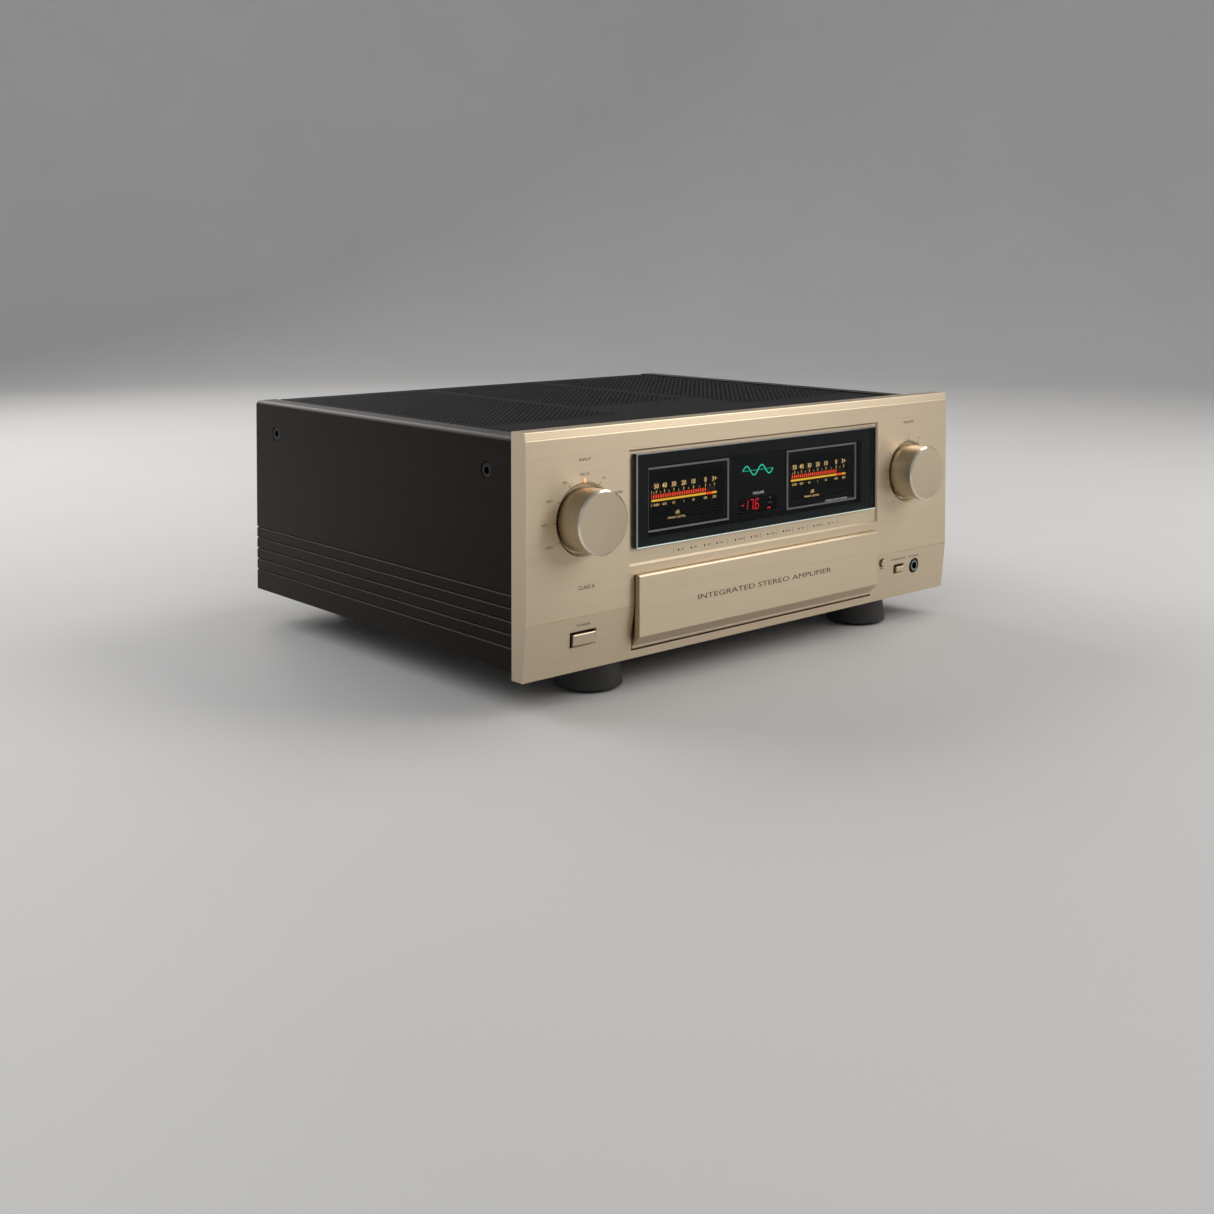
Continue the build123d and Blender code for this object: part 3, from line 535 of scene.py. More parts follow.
def painted(name, colour, rough, grain, depth, spread=0.08, **sockets):
    """Paint or moulded plastic with a grain of that many cycles per metre and depth in mm."""
    recipe = Recipe(name, colour, rough, **sockets)
    fine = recipe.noise(grain, rough=0.6)
    cloud = recipe.noise(25)
    recipe.vary_colour(cloud, *shades(colour, spread))
    recipe.vary_rough(recipe.weighted(fine, 0.5, cloud), rough - 0.05, rough + 0.06)
    recipe.bump(fine, depth, 0.7)
    return recipe.material


def plain_metal(name, colour, rough, grain=2500.0, depth=0.003, spread=0.05):
    """Plated or extruded metal with a faint grain."""
    recipe = Recipe(name, colour, rough, metal=1.0)
    fine = recipe.noise(grain, detail=2.0)
    cloud = recipe.noise(80)
    recipe.vary_colour(cloud, *shades(colour, spread))
    recipe.vary_rough(cloud, rough - 0.04, rough + 0.05)
    recipe.bump(fine, depth, 0.5)
    return recipe.material


def lit(name, colour, strength, unlit=(0.02, 0.02, 0.02)):
    """A lit mark. Its brightness varies a little along it, as a printed light guide's does."""
    recipe = Recipe(name, unlit, 0.5)
    cloud = recipe.noise(400, detail=1.0)
    glow = recipe.mixed(cloud, *shades(colour, 0.08))
    recipe.link(glow, recipe.shader.inputs["Emission Color"])
    recipe.set("Emission Strength", strength)
    return recipe.material


def ink(name, colour):
    """Screen-printed ink."""
    return clouded(name, colour, (0.42, 0.58), 900, 0.15, detail=2.0)


def window_glass():
    """A clear pane: what lies behind shows straight through under a sharp surface reflection."""
    recipe = Recipe("window_glass", (0.02, 0.022, 0.022), 0.03, Specular_IOR_Level=0.5)
    smudge = recipe.noise(30, detail=4.0)
    recipe.vary_rough(smudge, 0.02, 0.06)
    clear = recipe.node("ShaderNodeBsdfTransparent", {"Color": (0.93, 0.95, 0.95, 1.0)})
    fresnel = recipe.node("ShaderNodeFresnel", {"IOR": 1.45})
    sheen = {"Color": (0.20, 0.215, 0.23, 1.0), "Roughness": 0.03}
    gloss = recipe.node("ShaderNodeBsdfGlossy", sheen)
    blend = recipe.node("ShaderNodeMixShader")
    recipe.link(fresnel.outputs["Fac"], blend.inputs[0])
    recipe.link(clear.outputs["BSDF"], blend.inputs[1])
    recipe.link(gloss.outputs["BSDF"], blend.inputs[2])
    recipe.surface(blend.outputs["Shader"])
    return recipe.material


def clear_back():
    """The pane's back, which only lets light through: the front carries the reflection."""
    recipe = Recipe("clear_back", (1.0, 1.0, 1.0), 0.05)
    smudge = recipe.noise(30)
    clear = recipe.node("ShaderNodeBsdfTransparent")
    tint = recipe.mixed(smudge, (0.96, 0.97, 0.97), (0.99, 1.0, 1.0))
    recipe.link(tint, clear.inputs["Color"])
    recipe.surface(clear.outputs["BSDF"])
    return recipe.material


add_camera()
add_studio()

MATERIALS = {"gold_knob": satin_gold(), "display_glass": window_glass()}


def stock(maker, name, *settings, **sockets):
    """Makes a CAD piece's material, under the name that the frame's record gives it."""
    MATERIALS[name] = maker(name, *settings, **sockets)


stock(brushed_metal, "gold_panel", GOLD, 0, 0.42)
stock(brushed_metal, "dark_side", (0.0165, 0.0118, 0.0092), 1, 0.36, spread=0.12)
stock(painted, "display_charcoal", (0.0075, 0.0077, 0.008), 0.6, 3000, 0.004, Specular_IOR_Level=0.2)
stock(painted, "silver_trim", (0.80, 0.77, 0.73), 0.4, 2500, 0.002, spread=0.04, Metallic=0.3)
stock(painted, "meter_black", (0.0012, 0.0012, 0.0014), 0.5, 2000, 0.001, Specular_IOR_Level=0.1)
stock(painted, "black_cover", (0.007, 0.0067, 0.007), 0.56, 2600, 0.006, Specular_IOR_Level=0.1)
stock(painted, "circuit_board", (0.02, 0.12, 0.05), 0.35, 1200, 0.01)
stock(painted, "component_black", (0.018, 0.018, 0.019), 0.45, 1500, 0.01)
stock(painted, "black_steel", (0.022, 0.022, 0.022), 0.5, 2200, 0.008)
stock(painted, "foot_iron", (0.028, 0.027, 0.026), 0.55, 1500, 0.03)
stock(painted, "foot_rubber", (0.015, 0.015, 0.015), 0.75, 1800, 0.02)
stock(painted, "rear_paint", (0.024, 0.024, 0.025), 0.5, 1900, 0.018)
stock(painted, "black_plastic", (0.014, 0.014, 0.015), 0.32, 1700, 0.008)
stock(painted, "cap_plastic", (0.016, 0.016, 0.018), 0.28, 1200, 0.006)
stock(painted, "capacitor_sleeve", (0.02, 0.03, 0.07), 0.3, 900, 0.004)
stock(plain_metal, "bright_steel", (0.62, 0.61, 0.60), 0.22)
stock(plain_metal, "zinc_steel", (0.55, 0.56, 0.58), 0.35, grain=900)
stock(plain_metal, "jack_chrome", (0.75, 0.75, 0.75), 0.14)
stock(plain_metal, "gold_plate", (0.90, 0.66, 0.30), 0.2)
stock(plain_metal, "black_screws", (0.034, 0.034, 0.036), 0.2)
stock(plain_metal, "sink_aluminium", (0.62, 0.62, 0.63), 0.36, grain=1500)

for row in frame["record"]["subparts"]:
    mesh = nodes[row["node"]].data
    mesh.materials.clear()
    mesh.materials.append(MATERIALS[row["material_slot"]])

# ================ top cover
COVER_LOW, COVER_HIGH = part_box("top_cover")
# The steel's thickness, half its flat top's width, and the heights of its flanges and rear lap, in mm.
SHEET = 1.5
COVER_HALF = 208.5
FLANGE_HEIGHT = 161.2
LAP_FOOT = 152.0
# Holes 2.5 mm across stand 4 mm apart in rows at 45 degrees.
HOLE_RADIUS = 1.25
HOLE_SIDES = 6
HALF_CELL = 4.0 / math.sqrt(2)
# Each perforated field: x limits and limits behind the face, in mm.
FIELDS = [
    ((-205.0, -70.0), (85.0, 355.0)),
    ((-57.0, 57.0), (145.0, 355.0)),
    ((70.0, 205.0), (85.0, 355.0)),
]


def perforated_field(sheet, x_limits, y_limits, height):
    """Adds a staggered field of holes to the sheet and returns the edges around the whole field.

    Every hole stands in a diamond, and triangles fill the notches round the edge.
    """
    columns = int((x_limits[1] - x_limits[0]) / (2 * HALF_CELL))
    rows = int((y_limits[1] - y_limits[0]) / (2 * HALF_CELL))
    left = (x_limits[0] + x_limits[1]) / 2 - columns * HALF_CELL
    front = (y_limits[0] + y_limits[1]) / 2 - rows * HALF_CELL
    shared = {}

    def corner(column, row):
        """The sheet's vertex at a crossing of half cells, made once."""
        if (column, row) not in shared:
            place = at(left + column * HALF_CELL, front + row * HALF_CELL, height)
            shared[column, row] = sheet.verts.new(place)
        return shared[column, row]

    for row in range(1, 2 * rows):
        for column in range(1, 2 * columns):
            if (row + column) % 2:
                continue
            right = corner(column + 1, row)
            far = corner(column, row + 1)
            left_corner = corner(column - 1, row)
            near = corner(column, row - 1)
            middle = at(left + column * HALF_CELL, front + row * HALF_CELL, height)
            hole = []
            for side in range(HOLE_SIDES):
                angle = 2 * math.pi * side / HOLE_SIDES
                reach = Vector((math.cos(angle), math.sin(angle), 0)) * HOLE_RADIUS * MM
                hole.append(sheet.verts.new(middle + reach))
            # Round the diamond, each corner with the sides of the hole that it faces.
            for outer, inner in (
                ((right, far), (0, 1)),
                ((far, left_corner), (1, 2, 3)),
                ((left_corner, near), (3, 4)),
                ((near, right), (4, 5, 0)),
            ):
                sheet.faces.new((outer[0], hole[inner[1]], hole[inner[0]]))
                sheet.faces.new((*outer, hole[inner[1]]))
                if len(inner) == 3:
                    sheet.faces.new((outer[1], hole[inner[2]], hole[inner[1]]))
    rim = []
    for column in range(0, 2 * columns, 2):
        for row, sense in ((0, 1), (2 * rows, -1)):
            ends = (corner(column, row), corner(column + 2, row))
            point = corner(column + 1, row + sense)
            sheet.faces.new((*ends, point))
            rim.append(ends)
    for row in range(0, 2 * rows, 2):
        for column, sense in ((0, 1), (2 * columns, -1)):
            ends = (corner(column, row), corner(column, row + 2))
            point = corner(column + sense, row + 1)
            sheet.faces.new((*ends, point))
            rim.append(ends)
    return rim


def make_top_cover():
    """The folded steel cover, with its three fields of ventilation holes cut right through."""
    sheet = bmesh.new()
    top = height_of(COVER_HIGH.z)
    front, rear = behind_of(COVER_LOW.y), behind_of(COVER_HIGH.y)
    half, flange = COVER_HALF, COVER_HIGH.x / MM
    rims = []
    for x_limits, y_limits in FIELDS:
        rims += perforated_field(sheet, x_limits, y_limits, top)
    places = ((-half, front), (half, front), (half, rear), (-half, rear))
    corners = [sheet.verts.new(at(x, y, top)) for x, y in places]
    outline = [sheet.edges.new((corners[k], corners[(k + 1) % 4])) for k in range(4)]
    holes = [sheet.edges.get(ends) for ends in rims]
    bmesh.ops.triangle_fill(sheet, use_beauty=True, edges=outline + holes, normal=(0, 0, 1))
    flange_rear = behind_of(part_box("rear_panel")[1].y)
    for side in (-1, 1):
        upper = [corners[0], corners[3]] if side < 0 else [corners[1], corners[2]]
        bend = [sheet.verts.new(at(side * half, y, FLANGE_HEIGHT)) for y in (front, rear)]
        edge = [
            sheet.verts.new(at(side * flange, y, FLANGE_HEIGHT)) for y in (front, flange_rear)
        ]
        last = sheet.verts.new(at(side * half, flange_rear, FLANGE_HEIGHT))
        sheet.faces.new((upper[0], upper[1], bend[1], last, bend[0]))
        sheet.faces.new((bend[0], last, edge[1], edge[0]))
    lap_low = [sheet.verts.new(at(x, rear, LAP_FOOT)) for x in (half, -half)]
    sheet.faces.new((corners[2], corners[3], lap_low[1], lap_low[0]))
    bmesh.ops.recalc_face_normals(sheet, faces=sheet.faces)
    mesh = bpy.data.meshes.new("perforated_cover")
    sheet.to_mesh(mesh)
    sheet.free()
    cover = new_object("perforated_cover", mesh)
    if sum(polygon.normal.z * polygon.area for polygon in mesh.polygons) < 0:
        mesh.flip_normals()
    thick = cover.modifiers.new("thickness", "SOLIDIFY")
    thick.thickness = SHEET * MM
    thick.offset = -1.0
    thick.use_even_offset = False
    mesh.materials.append(MATERIALS["black_cover"])
    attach(cover, "root")
    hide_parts("top_cover")


# ================ rounded edges on the CAD pieces
# Each rounded node and its radius in mm.
ROUNDED = {
    "front_panel": 0.15,
    "flap_door": 0.35,
    "power_button": 0.30,
    "attenuator_button": 0.25,
    "side_panel_left": 0.30,
    "side_panel_right": 0.30,
    "rear_panel": 0.20,
    "option_covers": 0.20,
    "ac_inlet": 0.30,
    "xlr_sockets": 0.30,
    "sub_panel": 0.20,
    "feet": 0.8,
    "foot_pads": 0.5,
}
# Edges sharper than this many degrees stay crisp. The panel's seam and crown turn by only a few.
SHARP_ANGLE = 30.0
FINE_SHARP_ANGLES = {"front_panel": 5.5}


def round_edges(node, width):
    """Rounds a CAD piece's sharp edges by that many mm, inside its own outline."""
    piece = nodes[node]
    crisp = FINE_SHARP_ANGLES.get(node, SHARP_ANGLE)
    weld = piece.modifiers.new("weld", "WELD")
    weld.merge_threshold = 1e-6
    flat = piece.modifiers.new("flat_faces", "DECIMATE")
    flat.decimate_type = "DISSOLVE"
    flat.angle_limit = math.radians(0.4)
    bevel = piece.modifiers.new("rounding", "BEVEL")
    bevel.width = width * MM
    bevel.segments = 3
    bevel.limit_method = "ANGLE"
    bevel.angle_limit = math.radians(35)
    bevel.use_clamp_overlap = True
    bevel.miter_outer = "MITER_ARC"
    smooth = piece.modifiers.new("normals", "WEIGHTED_NORMAL")
    smooth.keep_sharp = True
    shade(piece, crisp)


make_top_cover()
for node, width in ROUNDED.items():
    round_edges(node, width)

# ================ knobs
# The satin face, the bright cut edge and the turned side.
BRIGHT_CUT = clouded(
    "polished_gold", (0.94, 0.87, 0.75), (0.20, 0.26), 300, 0.02, detail=2.0, metal=1.0
)
KNOB_METALS = (MATERIALS["gold_knob"], BRIGHT_CUT, turned_gold())


def turned_knob(name, node, body):
    """A large knob: satin face, bright chamfer and turned side, about the CAD knob's own axis."""
    low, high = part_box(node)
    radius = (high.x - low.x) / 2
    centre = ((low.x + high.x) / 2, low.y, (low.z + high.z) / 2)
    depth = high.y - low.y
    face, chamfer = radius - 1.25 * MM, 1.15 * MM
    profile = [
        (0.0, 0.05 * MM),
        (face - 0.5 * MM, 0.05 * MM),
        (face - 0.1 * MM, 0.0),
        (face, 0.0),
        (radius - 0.12 * MM, chamfer - 0.1 * MM),
        (radius, chamfer + 0.05 * MM),
        (radius, depth - 0.4 * MM),
        (radius - 0.4 * MM, depth),
        (0.0, depth),
    ]
    turns = 160
    knob = lathe(name, profile, turns, centre=centre)
    for material in KNOB_METALS:
        knob.data.materials.append(material)
    # Which of those metals each stretch of the profile has.
    bands = (0, 0, 0, 1, 1, 2, 2, 2)
    for index, polygon in enumerate(knob.data.polygons):
        polygon.material_index = bands[index // turns]
    shade(knob, 25)
    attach(knob, body)
    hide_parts(node)


turned_knob("input_knob_turned", "input_knob", "input_knob")
turned_knob("volume_knob_turned", "volume_knob", "volume_knob")

# ================ display
# How far printed and lit marks stand proud of what carries them, in mm.
PROUD = 0.05
# The outer faces of the marks on each part, and of those in the panel's recess, in mm behind the face.
MASK_MARKS = behind_of(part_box("display_mask")[0].y) - PROUD
METER_MARKS = behind_of(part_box("level_meters")[0].y) - PROUD
READOUT_MARKS = behind_of(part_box("volume_readout")[0].y) - PROUD
RECESS_MARKS = 1.5 - PROUD
PANEL_MARKS = -PROUD
# The meters' middles stand this far to either side.
METER_X = 75.0


def lit_piece(made, material, body="root"):
    """Gives a mark its material and the body it rides on."""
    made.data.materials.append(material)
    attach(made, body)
    return made


def make_window():
    """The thick display pane, with polished chamfers, a black border behind it and a painted glint at its
    right end.
    """
    low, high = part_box("display_glass")
    x0, x1, z0, z1 = low.x, high.x, low.z, high.z
    chamfer = 0.8 * MM
    points = []
    for y, inset in ((low.y, chamfer), (low.y + chamfer, 0.0), (high.y, 0.0)):
        points += [
            (x0 + inset, y, z0 + inset),
            (x1 - inset, y, z0 + inset),
            (x1 - inset, y, z1 - inset),
            (x0 + inset, y, z1 - inset),
        ]
    faces = [(0, 1, 2, 3), (11, 10, 9, 8)]
    for ring in (0, 4):
        for side in range(4):
            after = (side + 1) % 4
            faces.append((ring + side, ring + side + 4, ring + after + 4, ring + after))
    pane = mesh_object("display_window", points, faces)
    # The bottom chamfer glows pale aqua: a painted highlight, lit though the glass is no lamp.
    glow = lit("glass_painted_highlight", (0.72, 0.86, 0.82), 0.95, unlit=(0.12, 0.14, 0.135))
    edge = clouded(
        "glass_edge", (0.42, 0.47, 0.465), (0.06, 0.12), 40, 0.12, metal=0.6, Specular_IOR_Level=0.6
    )
    # Dark glass for the pane's four sides, also put on the top chamfer as painted shade.
    side_and_shaded_chamfer = clouded("glass_side_and_painted_shade", (0.010, 0.014, 0.013), (0.08, 0.16), 60, 0.2)
    for material in (MATERIALS["display_glass"], clear_back(), glow, edge, side_and_shaded_chamfer):
        pane.data.materials.append(material)
    # Front, back, the chamfers from the bottom round to the left, then the four sides. The bottom chamfer
    # carries a painted highlight and the top chamfer painted shade.
    for polygon, material in zip(pane.data.polygons, (0, 1, 2, 3, 4, 3, 4, 4, 4, 4)):
        polygon.material_index = material
    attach(pane, "root")
    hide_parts("display_glass")

    back, ink_depth, clear, glint = behind_of(high.y), 0.06, 0.2, 0.45
    border = Marks("display_border", back - 2 * ink_depth, ink_depth)
    outer_x, outer_low, outer_high = x1 / MM - clear, height_of(z0) + clear, height_of(z1) - clear
    inner_x, inner_low, inner_high = 119.2, 85.7, 136.7
    border.bar((-outer_x, outer_x), (outer_low, inner_low))
    border.bar((-outer_x, outer_x), (inner_high, outer_high))
    border.bar((-outer_x, -inner_x), (inner_low, inner_high))
    border.bar((inner_x, outer_x), (inner_low, inner_high))
    lit_piece(border.made(), ink("border_ink", (0.004, 0.004, 0.0045)))
    # A pale strip at the pane's right end is a painted glint.
    rim = Marks("display_painted_glint", back - 0.2, ink_depth)
    rim.bar((outer_x - glint, outer_x), (outer_low, outer_high))
    lit_piece(rim.made(), ink("painted_glint", (0.36, 0.40, 0.42)))


AMBER = lit("lit_amber", (1.0, 0.64, 0.25), 0.95)
WARM_LINE = lit("lit_yellow", (1.0, 0.52, 0.03), 0.85)
RED_BAR = lit("lit_red_bar", (1.0, 0.060, 0.014), 1.05)
RED_DIGIT = lit("lit_red_digit", (1.0, 0.008, 0.018), 0.9)
TEAL = lit("lit_teal", (0.02, 0.80, 0.50), 0.85)
WHITE = lit("lit_white", (0.80, 0.82, 0.84), 0.7)
UNLIT_RED = ink("unlit_red", (0.06, 0.008, 0.006))
PRINT_DARK = ink("print_dark", (0.030, 0.021, 0.012))
PRINT_GREY = ink("print_grey", (0.32, 0.32, 0.31))
PRINT_WHITE = ink("print_white", (0.72, 0.72, 0.70))

# The level scale: dB label and its mm from the meter's middle.
SCALE = {"50": -31.9, "40": -23.8, "30": -14.3, "20": -4.2, "10": 5.9, "0": 18.5, "3+": 27.9}
SCALE_START = -36.8
WATTS = ("0", "0.001", "0.01", "0.1", "1", "10", "100", "200")


def make_meter(side, name):
    """One peak level meter: its numerals, ticks, bar of lit segments and power scale."""
    middle = side * METER_X
    front = METER_MARKS
    decibel_z, watt_z = 121.0, 107.3
    numerals = [
        words(text, middle + x, decibel_z, 3.6, front, bold=0.008) for text, x in SCALE.items()
    ]
    numerals.append(words("-", middle - 36.4, decibel_z, 0.45, front, width=1.7))
    numerals.append(words("dB", middle - 10.6, 100.0, 2.9, front))
    numerals.append(words("PEAK LEVEL", middle - 11.0, 96.4, 1.5, front, width=18.0))
    places = [middle + x for x in (SCALE_START, *SCALE.values())]
    for text, x in zip(WATTS, places):
        numerals.append(words(text, x, watt_z, 1.9, front))
    lit_piece(join(f"{name}_numerals", numerals), AMBER)

    ticks = Marks(f"{name}_ticks", front)
    half, long_tick, short_tick = 0.25, (115.7, 118.0), (115.8, 116.8)
    for place, after in zip(places, places[1:]):
        between = (place + after) / 2
        ticks.bar((place - half, place + half), long_tick)
        ticks.bar((between - half, between + half), short_tick)
    ticks.bar((places[-1] - half, places[-1] + half), long_tick)
    lit_piece(ticks.made(), AMBER)

    pitch, width, start, count, unlit = 2.4, 1.2, middle - 37.6, 24, 4
    bars = Marks(f"{name}_segments", front)
    dark = Marks(f"{name}_segments_unlit", front)
    for step in range(count + unlit):
        row = bars if step < count else dark
        row.bar((start + pitch * step, start + pitch * step + width), (112.2, 114.9))
    lit_piece(bars.made(), RED_BAR)
    lit_piece(dark.made(), UNLIT_RED)

    # The line below the segments is yellow, with a red stretch from 0 dB on.
    heights = (109.8, 111.4)
    line = Marks(f"{name}_line", front)
    line.bar((middle - 37.7, middle + 18.9), heights)
    line.bar((middle + 25.6, middle + 30.2), heights)
    lit_piece(line.made(), WARM_LINE)
    over = Marks(f"{name}_line_red", front)
    over.bar((middle + 19.2, middle + 25.3), heights)
    lit_piece(over.made(), RED_BAR)


# Which of the seven segments each sign lights.
SEGMENTS = {"-": "g", "1": "bc", "7": "abc", "6": "acdefg"}


def seven_segments(marks, digit, left, low, width, height, stroke, slant):
    """One slanted seven-segment digit, each segment a six-sided bar."""
    half = height / 2
    runs = {
        "a": ((0, height), (width, height)),
        "b": ((width, half), (width, height)),
        "c": ((width, 0), (width, half)),
        "d": ((0, 0), (width, 0)),
        "e": ((0, 0), (0, half)),
        "f": ((0, half), (0, height)),
        "g": ((0, half), (width, half)),
    }
    for segment in SEGMENTS[digit]:
        (x0, z0), (x1, z1) = runs[segment]
        length = math.hypot(x1 - x0, z1 - z0)
        ahead = ((x1 - x0) / length, (z1 - z0) / length)
        side = (-ahead[1] * stroke / 2, ahead[0] * stroke / 2)
        near = 0.12
        far = length - near
        shoulder, last_shoulder = near + stroke / 2, far - stroke / 2
        corners = []
        for along, out in (
            (near, 0),
            (shoulder, 1),
            (last_shoulder, 1),
            (far, 0),
            (last_shoulder, -1),
            (shoulder, -1),
        ):
            x = x0 + ahead[0] * along + side[0] * out
            z = z0 + ahead[1] * along + side[1] * out
            corners.append((left + x + z * slant, low + z))
        marks.shape(list(reversed(corners)))


def make_readout():
    """The volume level in dB, in slanted red digits, and the small captions beside it."""
    digits = Marks("volume_digits", READOUT_MARKS)
    low, width, height, stroke, slant = 93.2, 3.5, 7.4, 0.75, 0.14
    seven_segments(digits, "-", -18.0, low, 3.0, height, stroke, slant)
    for digit, left in (("1", -14.5), ("7", -8.6), ("6", -2.4)):
        seven_segments(digits, digit, left, low, width, height, stroke, slant)
    digits.dot(-3.6, low, 0.5)
    lit_piece(digits.made(), RED_DIGIT)
    lamp = Marks("readout_lamp", READOUT_MARKS)
    lamp.bar((11.5, 15.0), (91.9, 92.9))
    lit_piece(lamp.made(), RED_DIGIT)
    side_x = 14.5
    captions = [
        words("dB", side_x, 100.4, 1.7, READOUT_MARKS),
        words("LEVEL", side_x, 96.4, 1.3, READOUT_MARKS),
    ]
    lit_piece(join("readout_captions", captions), PRINT_GREY)
    titles = [
        words("VOLUME", 0.4, 105.4, 2.1, MASK_MARKS, width=12.5),
        words("STEREO LEVEL METER", METER_X + 18.0, 90.6, 1.4, MASK_MARKS, width=27.0),
    ]
    lit_piece(join("display_captions", titles), WHITE)


def make_wave():
    """A plain sine wave across a fine line, in teal light, between the meters."""
    wave = Marks("display_wave", MASK_MARKS)
    half, middle, swing = 17.0, 123.2, 3.6
    waves, steps, stroke, fine = 2.0, 64, 0.85, 0.3

    def crest(step):
        part = step / steps
        return (-half + 2 * half * part, middle + swing * math.sin(2 * math.pi * waves * part))

    for step in range(steps):
        wave.line(crest(step), crest(step + 1), stroke)
    wave.line((-half, middle), (half, middle), fine)
    lit_piece(wave.made(), TEAL)


make_window()
make_meter(-1, "left_meter")
make_meter(1, "right_meter")
make_readout()
make_wave()

# ================ front panel printing
# The toe leans back below this height, by this much at its foot, in mm.
TOE_TOP, TOE_SETBACK = 39.3, 4.1
# Capitals of the dials' labels, and the middles of the large knobs.
LABEL = 1.75
INPUT_DIAL = middle_of("input_knob")
VOLUME_DIAL = middle_of("volume_knob")
# Where the dials' marks start, in mm from the knob's middle.
MARK_START = 26.0
INPUTS = ("LINE 3", "LINE 2", "LINE 1", "BAL", "BAL CD", "CD", "TUNER", "PHONO")
CHOSEN_INPUT = 4


def on_toe(pieces):
    """Leans printing back with the panel's lower part."""
    for piece in pieces:
        for vertex in piece.data.vertices:
            vertex.co.y += TOE_SETBACK * MM * max(0.0, 1 - height_of(vertex.co.z) / TOE_TOP)
    return pieces


def make_dials():
    """The captions of the panel's face, and the labels and marks round both large knobs."""
    printed = [
        words("INPUT", INPUT_DIAL[0], 147.6, 2.2, PANEL_MARKS, width=11.0),
        words("VOLUME", VOLUME_DIAL[0], 147.8, 2.2, PANEL_MARKS, width=14.0),
        words("CLASS A", -179.0, 58.8, 3.0, PANEL_MARKS),
    ]
    input_angles = [30 * (step - CHOSEN_INPUT) for step in range(len(INPUTS))]
    for text, angle in zip(INPUTS, input_angles):
        x, z = around(INPUT_DIAL, 31.5, angle)
        if angle:
            x += math.copysign(0.42 * len(text) * LABEL, angle)
        printed.append(words(text, x, z, LABEL, PANEL_MARKS))
    volume_angles = [28 * step for step in range(-5, 6)]
    for level, angle in enumerate(volume_angles):
        x, z = around(VOLUME_DIAL, 31.0, angle)
        printed.append(words(str(level), x, z, LABEL, PANEL_MARKS))
    ticks = Marks("dial_ticks", PANEL_MARKS)
    ticks.spokes(INPUT_DIAL, MARK_START, 28.6, [angle for angle in input_angles if angle], 0.4)
    ticks.spokes(VOLUME_DIAL, MARK_START, 28.4, volume_angles, 0.4)
    lit_piece(ticks.made(), PRINT_DARK)
    lit_piece(join("panel_captions", printed), PRINT_DARK)

    lamp = Marks("input_lamp", PANEL_MARKS)
    x, z = INPUT_DIAL
    lamp.bar((x - 0.6, x + 0.6), (z + 25.6, z + 28.6))
    lit_piece(lamp.made(), lit("lit_orange", (1.0, 0.22, 0.03), 3.0))


def make_toe_captions():
    """The captions over the power button, the attenuator and the headphone socket."""
    captions = [
        words("POWER", -181.0, 32.8, 1.9, PANEL_MARKS, width=12.6),
        words("ATTENUATOR", 168.3, 32.6, 1.5, PANEL_MARKS, width=19.0),
        words("PHONES", 189.4, 32.6, 1.5, PANEL_MARKS, width=13.0),
        words("OPEN", 146.6, 27.2, 1.2, PANEL_MARKS),
    ]
    lit_piece(join("toe_captions", on_toe(captions)), PRINT_DARK)


def make_function_row():
    """The row of small indicators and their names below the display, with lines between them."""
    row, texts = Marks("function_lamps", RECESS_MARKS), []
    names = ("MC", "MM", "REC", "DAC", "PHASE", "TONE", "LOUD", "MONO", "EXT", "METER", "A B")
    spots = (-88.0, -75.0, -61.0, -48.0, -28.0, -10.5, 8.0, 26.0, 44.0, 62.0, 80.0)
    row_z, half = 73.0, 0.12
    for name, x in zip(names, spots):
        row.dot(x - 1.0, row_z, 0.8)
        texts.append(words(name, x + 2.4 + 0.5 * len(name), row_z, 1.4, RECESS_MARKS))
    for x in (-94.0, -38.0, -19.0, -1.2, 17.5, 35.5, 53.5, 71.5, 90.0):
        row.bar((x - half, x + half), (row_z - 1.8, row_z + 1.8))
    lit_piece(row.made(), PRINT_DARK)
    lit_piece(join("function_captions", texts), PRINT_DARK)


def make_flap_caption():
    """The plain line of capitals across the flap, which moves with it."""
    front = behind_of(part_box("flap_door")[0].y) - PROUD
    title = words("INTEGRATED STEREO AMPLIFIER", 0.0, 37.2, 3.9, front, width=150.0)
    lit_piece(join("flap_caption", [title]), PRINT_DARK, "flap_door")


# The controls behind the flap, and their captions.
SUB_PANEL_NAMES = {
    "speaker_knob": "SPEAKERS",
    "bass_knob": "BASS",
    "treble_knob": "TREBLE",
    "balance_knob": "BALANCE",
    "meter_button": "METER",
    "mono_button": "MONO",
    "tone_button": "TONE",
    "loudness_button": "LOUDNESS",
}


def make_sub_panel_printing():
    """Captions behind the flap, over each small knob and button."""
    front = behind_of(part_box("sub_panel")[0].y) - PROUD
    captions = [
        words(text, middle_of(node)[0], 45.0, 1.9, front) for node, text in SUB_PANEL_NAMES.items()
    ]
    ticks = Marks("tone_dial_ticks", front)
    for node in ("bass_knob", "treble_knob", "balance_knob"):
        ticks.spokes(middle_of(node), 7.2, 8.6, [35 * step for step in range(-4, 5)], 0.3)
    lit_piece(ticks.made(), PRINT_DARK)
    lit_piece(join("sub_panel_captions", captions), PRINT_DARK)


# The bezel's section: radius and mm behind the socket's mouth.
BEZEL = ((3.75, -0.1), (4.0, -0.35), (4.9, -0.35), (5.4, 0.15), (5.4, 3.0), (3.75, 3.0))


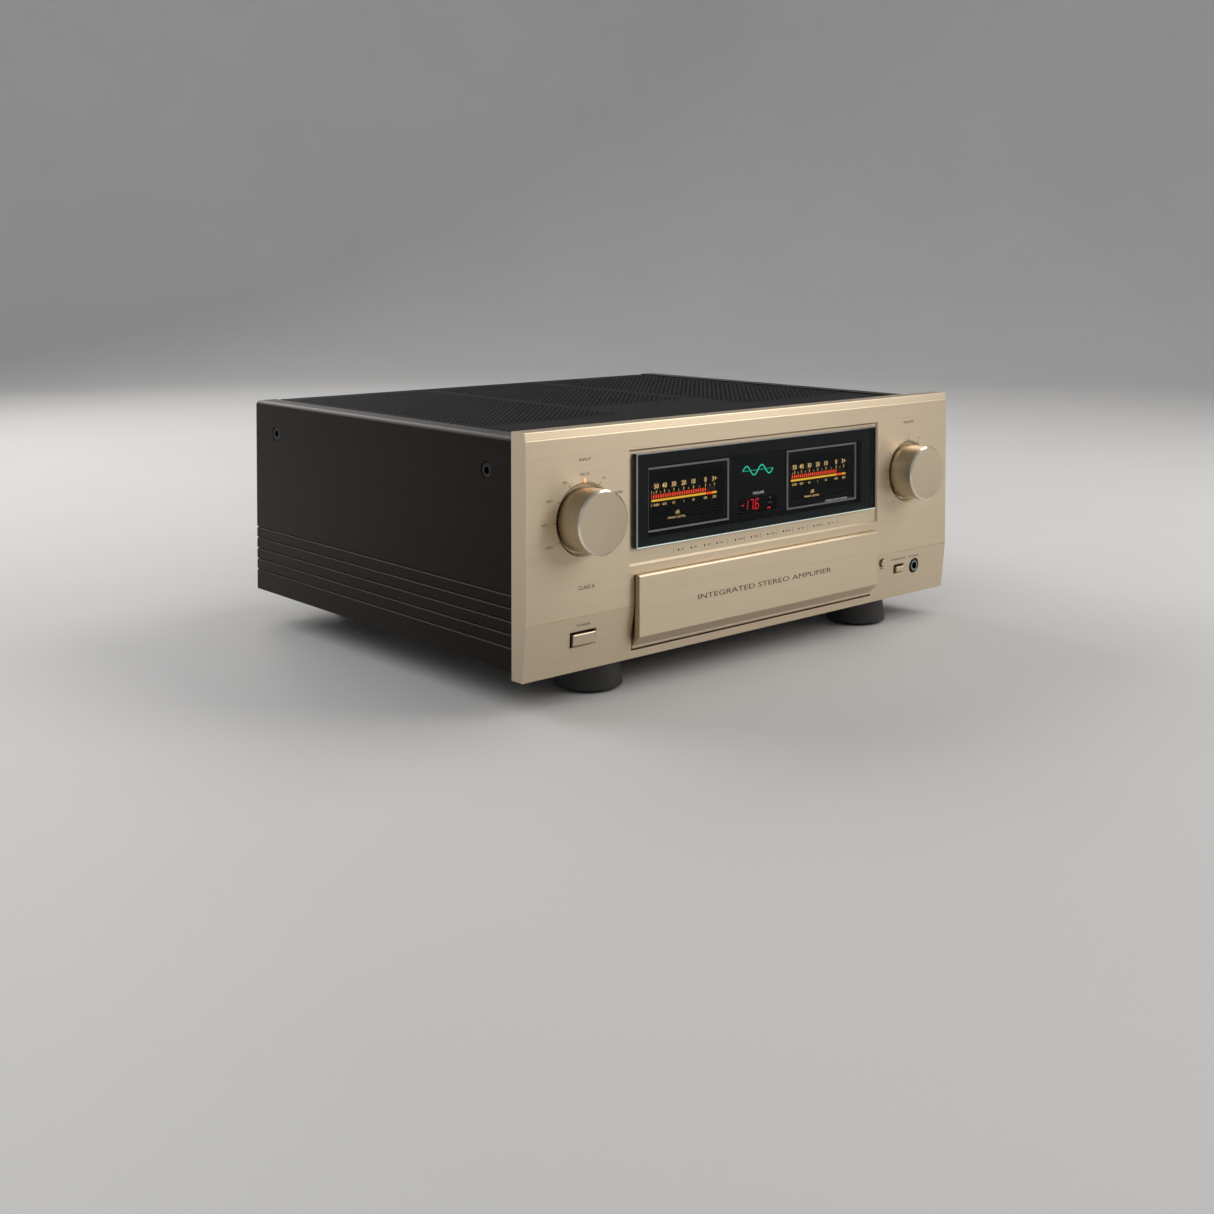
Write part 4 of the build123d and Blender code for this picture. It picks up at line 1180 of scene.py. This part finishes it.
def make_jack_bezel():
    """The headphone socket's black bezel, round its chrome mouth."""
    socket_x, socket_z = 190.5, 24.0
    centre = at(socket_x, behind_of(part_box("headphone_jack")[0].y), socket_z)
    section = [(radius * MM, along * MM) for radius, along in BEZEL]
    bezel = lathe("jack_bezel", section, 64, centre=centre, closed=True)
    bezel.data.materials.append(MATERIALS["black_plastic"])
    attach(bezel, "root")


make_dials()
make_toe_captions()
make_function_row()
make_flap_caption()
make_sub_panel_printing()
make_jack_bezel()


# ================ rear
REAR = behind_of(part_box("rear_panel")[1].y)
# The phono sockets stand in ten columns, in two rows with red rings below and white ones above.
JACK_COLUMNS = [22.0 * (column - 4.5) for column in range(10)]
JACK_ROWS = (72.0, 90.0)
POSTS = 8


def rear_words(text, x, z, capital):
    """A caption to be read from behind."""
    return words(text, x, z, capital, REAR + PROUD, rear=True)


def make_rear_printing():
    """Plain captions on the rear panel."""
    texts = []
    for x, text in ((-178.0, "RIGHT SPEAKERS"), (178.0, "LEFT SPEAKERS")):
        texts.append(rear_words(text, x, 88.0, 2.6))
        for z, row in ((55.0, "A"), (21.0, "B")):
            texts.append(rear_words(row, x, z, 2.6))
    for column, x in enumerate(JACK_COLUMNS):
        texts.append(rear_words(str(10 - column), x, 99.5, 2.2))
    texts.append(rear_words("LINE INPUTS", 66.0, 62.0, 2.4))
    texts.append(rear_words("OUTPUTS", -66.0, 62.0, 2.4))
    for x, text in ((-140.0, "BALANCED R"), (140.0, "BALANCED L")):
        texts.append(rear_words(text, x, 146.0, 2.2))
    texts.append(rear_words("AC INPUT", 0.0, 49.0, 2.4))
    lit_piece(join("rear_captions", texts), PRINT_WHITE)


def ring(name, inner, outer, depth, centre, material, body):
    """A plain ring with softened edges about the Y axis, starting at the centre; sizes in mm."""
    soft = min(0.3, (outer - inner) / 3)
    section = [
        (inner, 0.0),
        (outer - soft, 0.0),
        (outer, soft),
        (outer, depth - soft),
        (outer - soft, depth),
        (inner, depth),
    ]
    profile = [(radius * MM, along * MM) for radius, along in section]
    return lit_piece(lathe(name, profile, 40, centre=centre, closed=True), material, body)


def make_rear_colours():
    """Red and white rings that tell channels and polarities apart."""
    red = painted("marker_red", (0.36, 0.012, 0.010), 0.35, 1500, 0.004)
    white = painted("marker_white", (0.62, 0.61, 0.58), 0.35, 1500, 0.004)
    for name, z, material in zip(("rca_rings_red", "rca_rings_white"), JACK_ROWS, (red, white)):
        rings = [
            ring("jack_ring", 4.2, 5.6, 1.2, at(x, REAR + 2.0, z), material, "root")
            for x in JACK_COLUMNS
        ]
        join(name, rings)
    # Each terminal cap has a band round its outer end, red on the outer caps and white on the inner.
    from_end, width, wall, proud, outer_from = 3.4, 2.0, 2.0, 0.05, 178.0
    for number in range(1, POSTS + 1):
        low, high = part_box(f"post_cap_{number}")
        centre = ((low.x + high.x) / 2, high.y - from_end * MM, (low.z + high.z) / 2)
        radius = (high.x - low.x) / 2 / MM
        material = red if abs(centre[0]) > outer_from * MM else white
        band = f"post_band_{number}"
        ring(band, radius - wall, radius + proud, width, centre, material, f"post_cap_{number}")


make_rear_printing()
make_rear_colours()
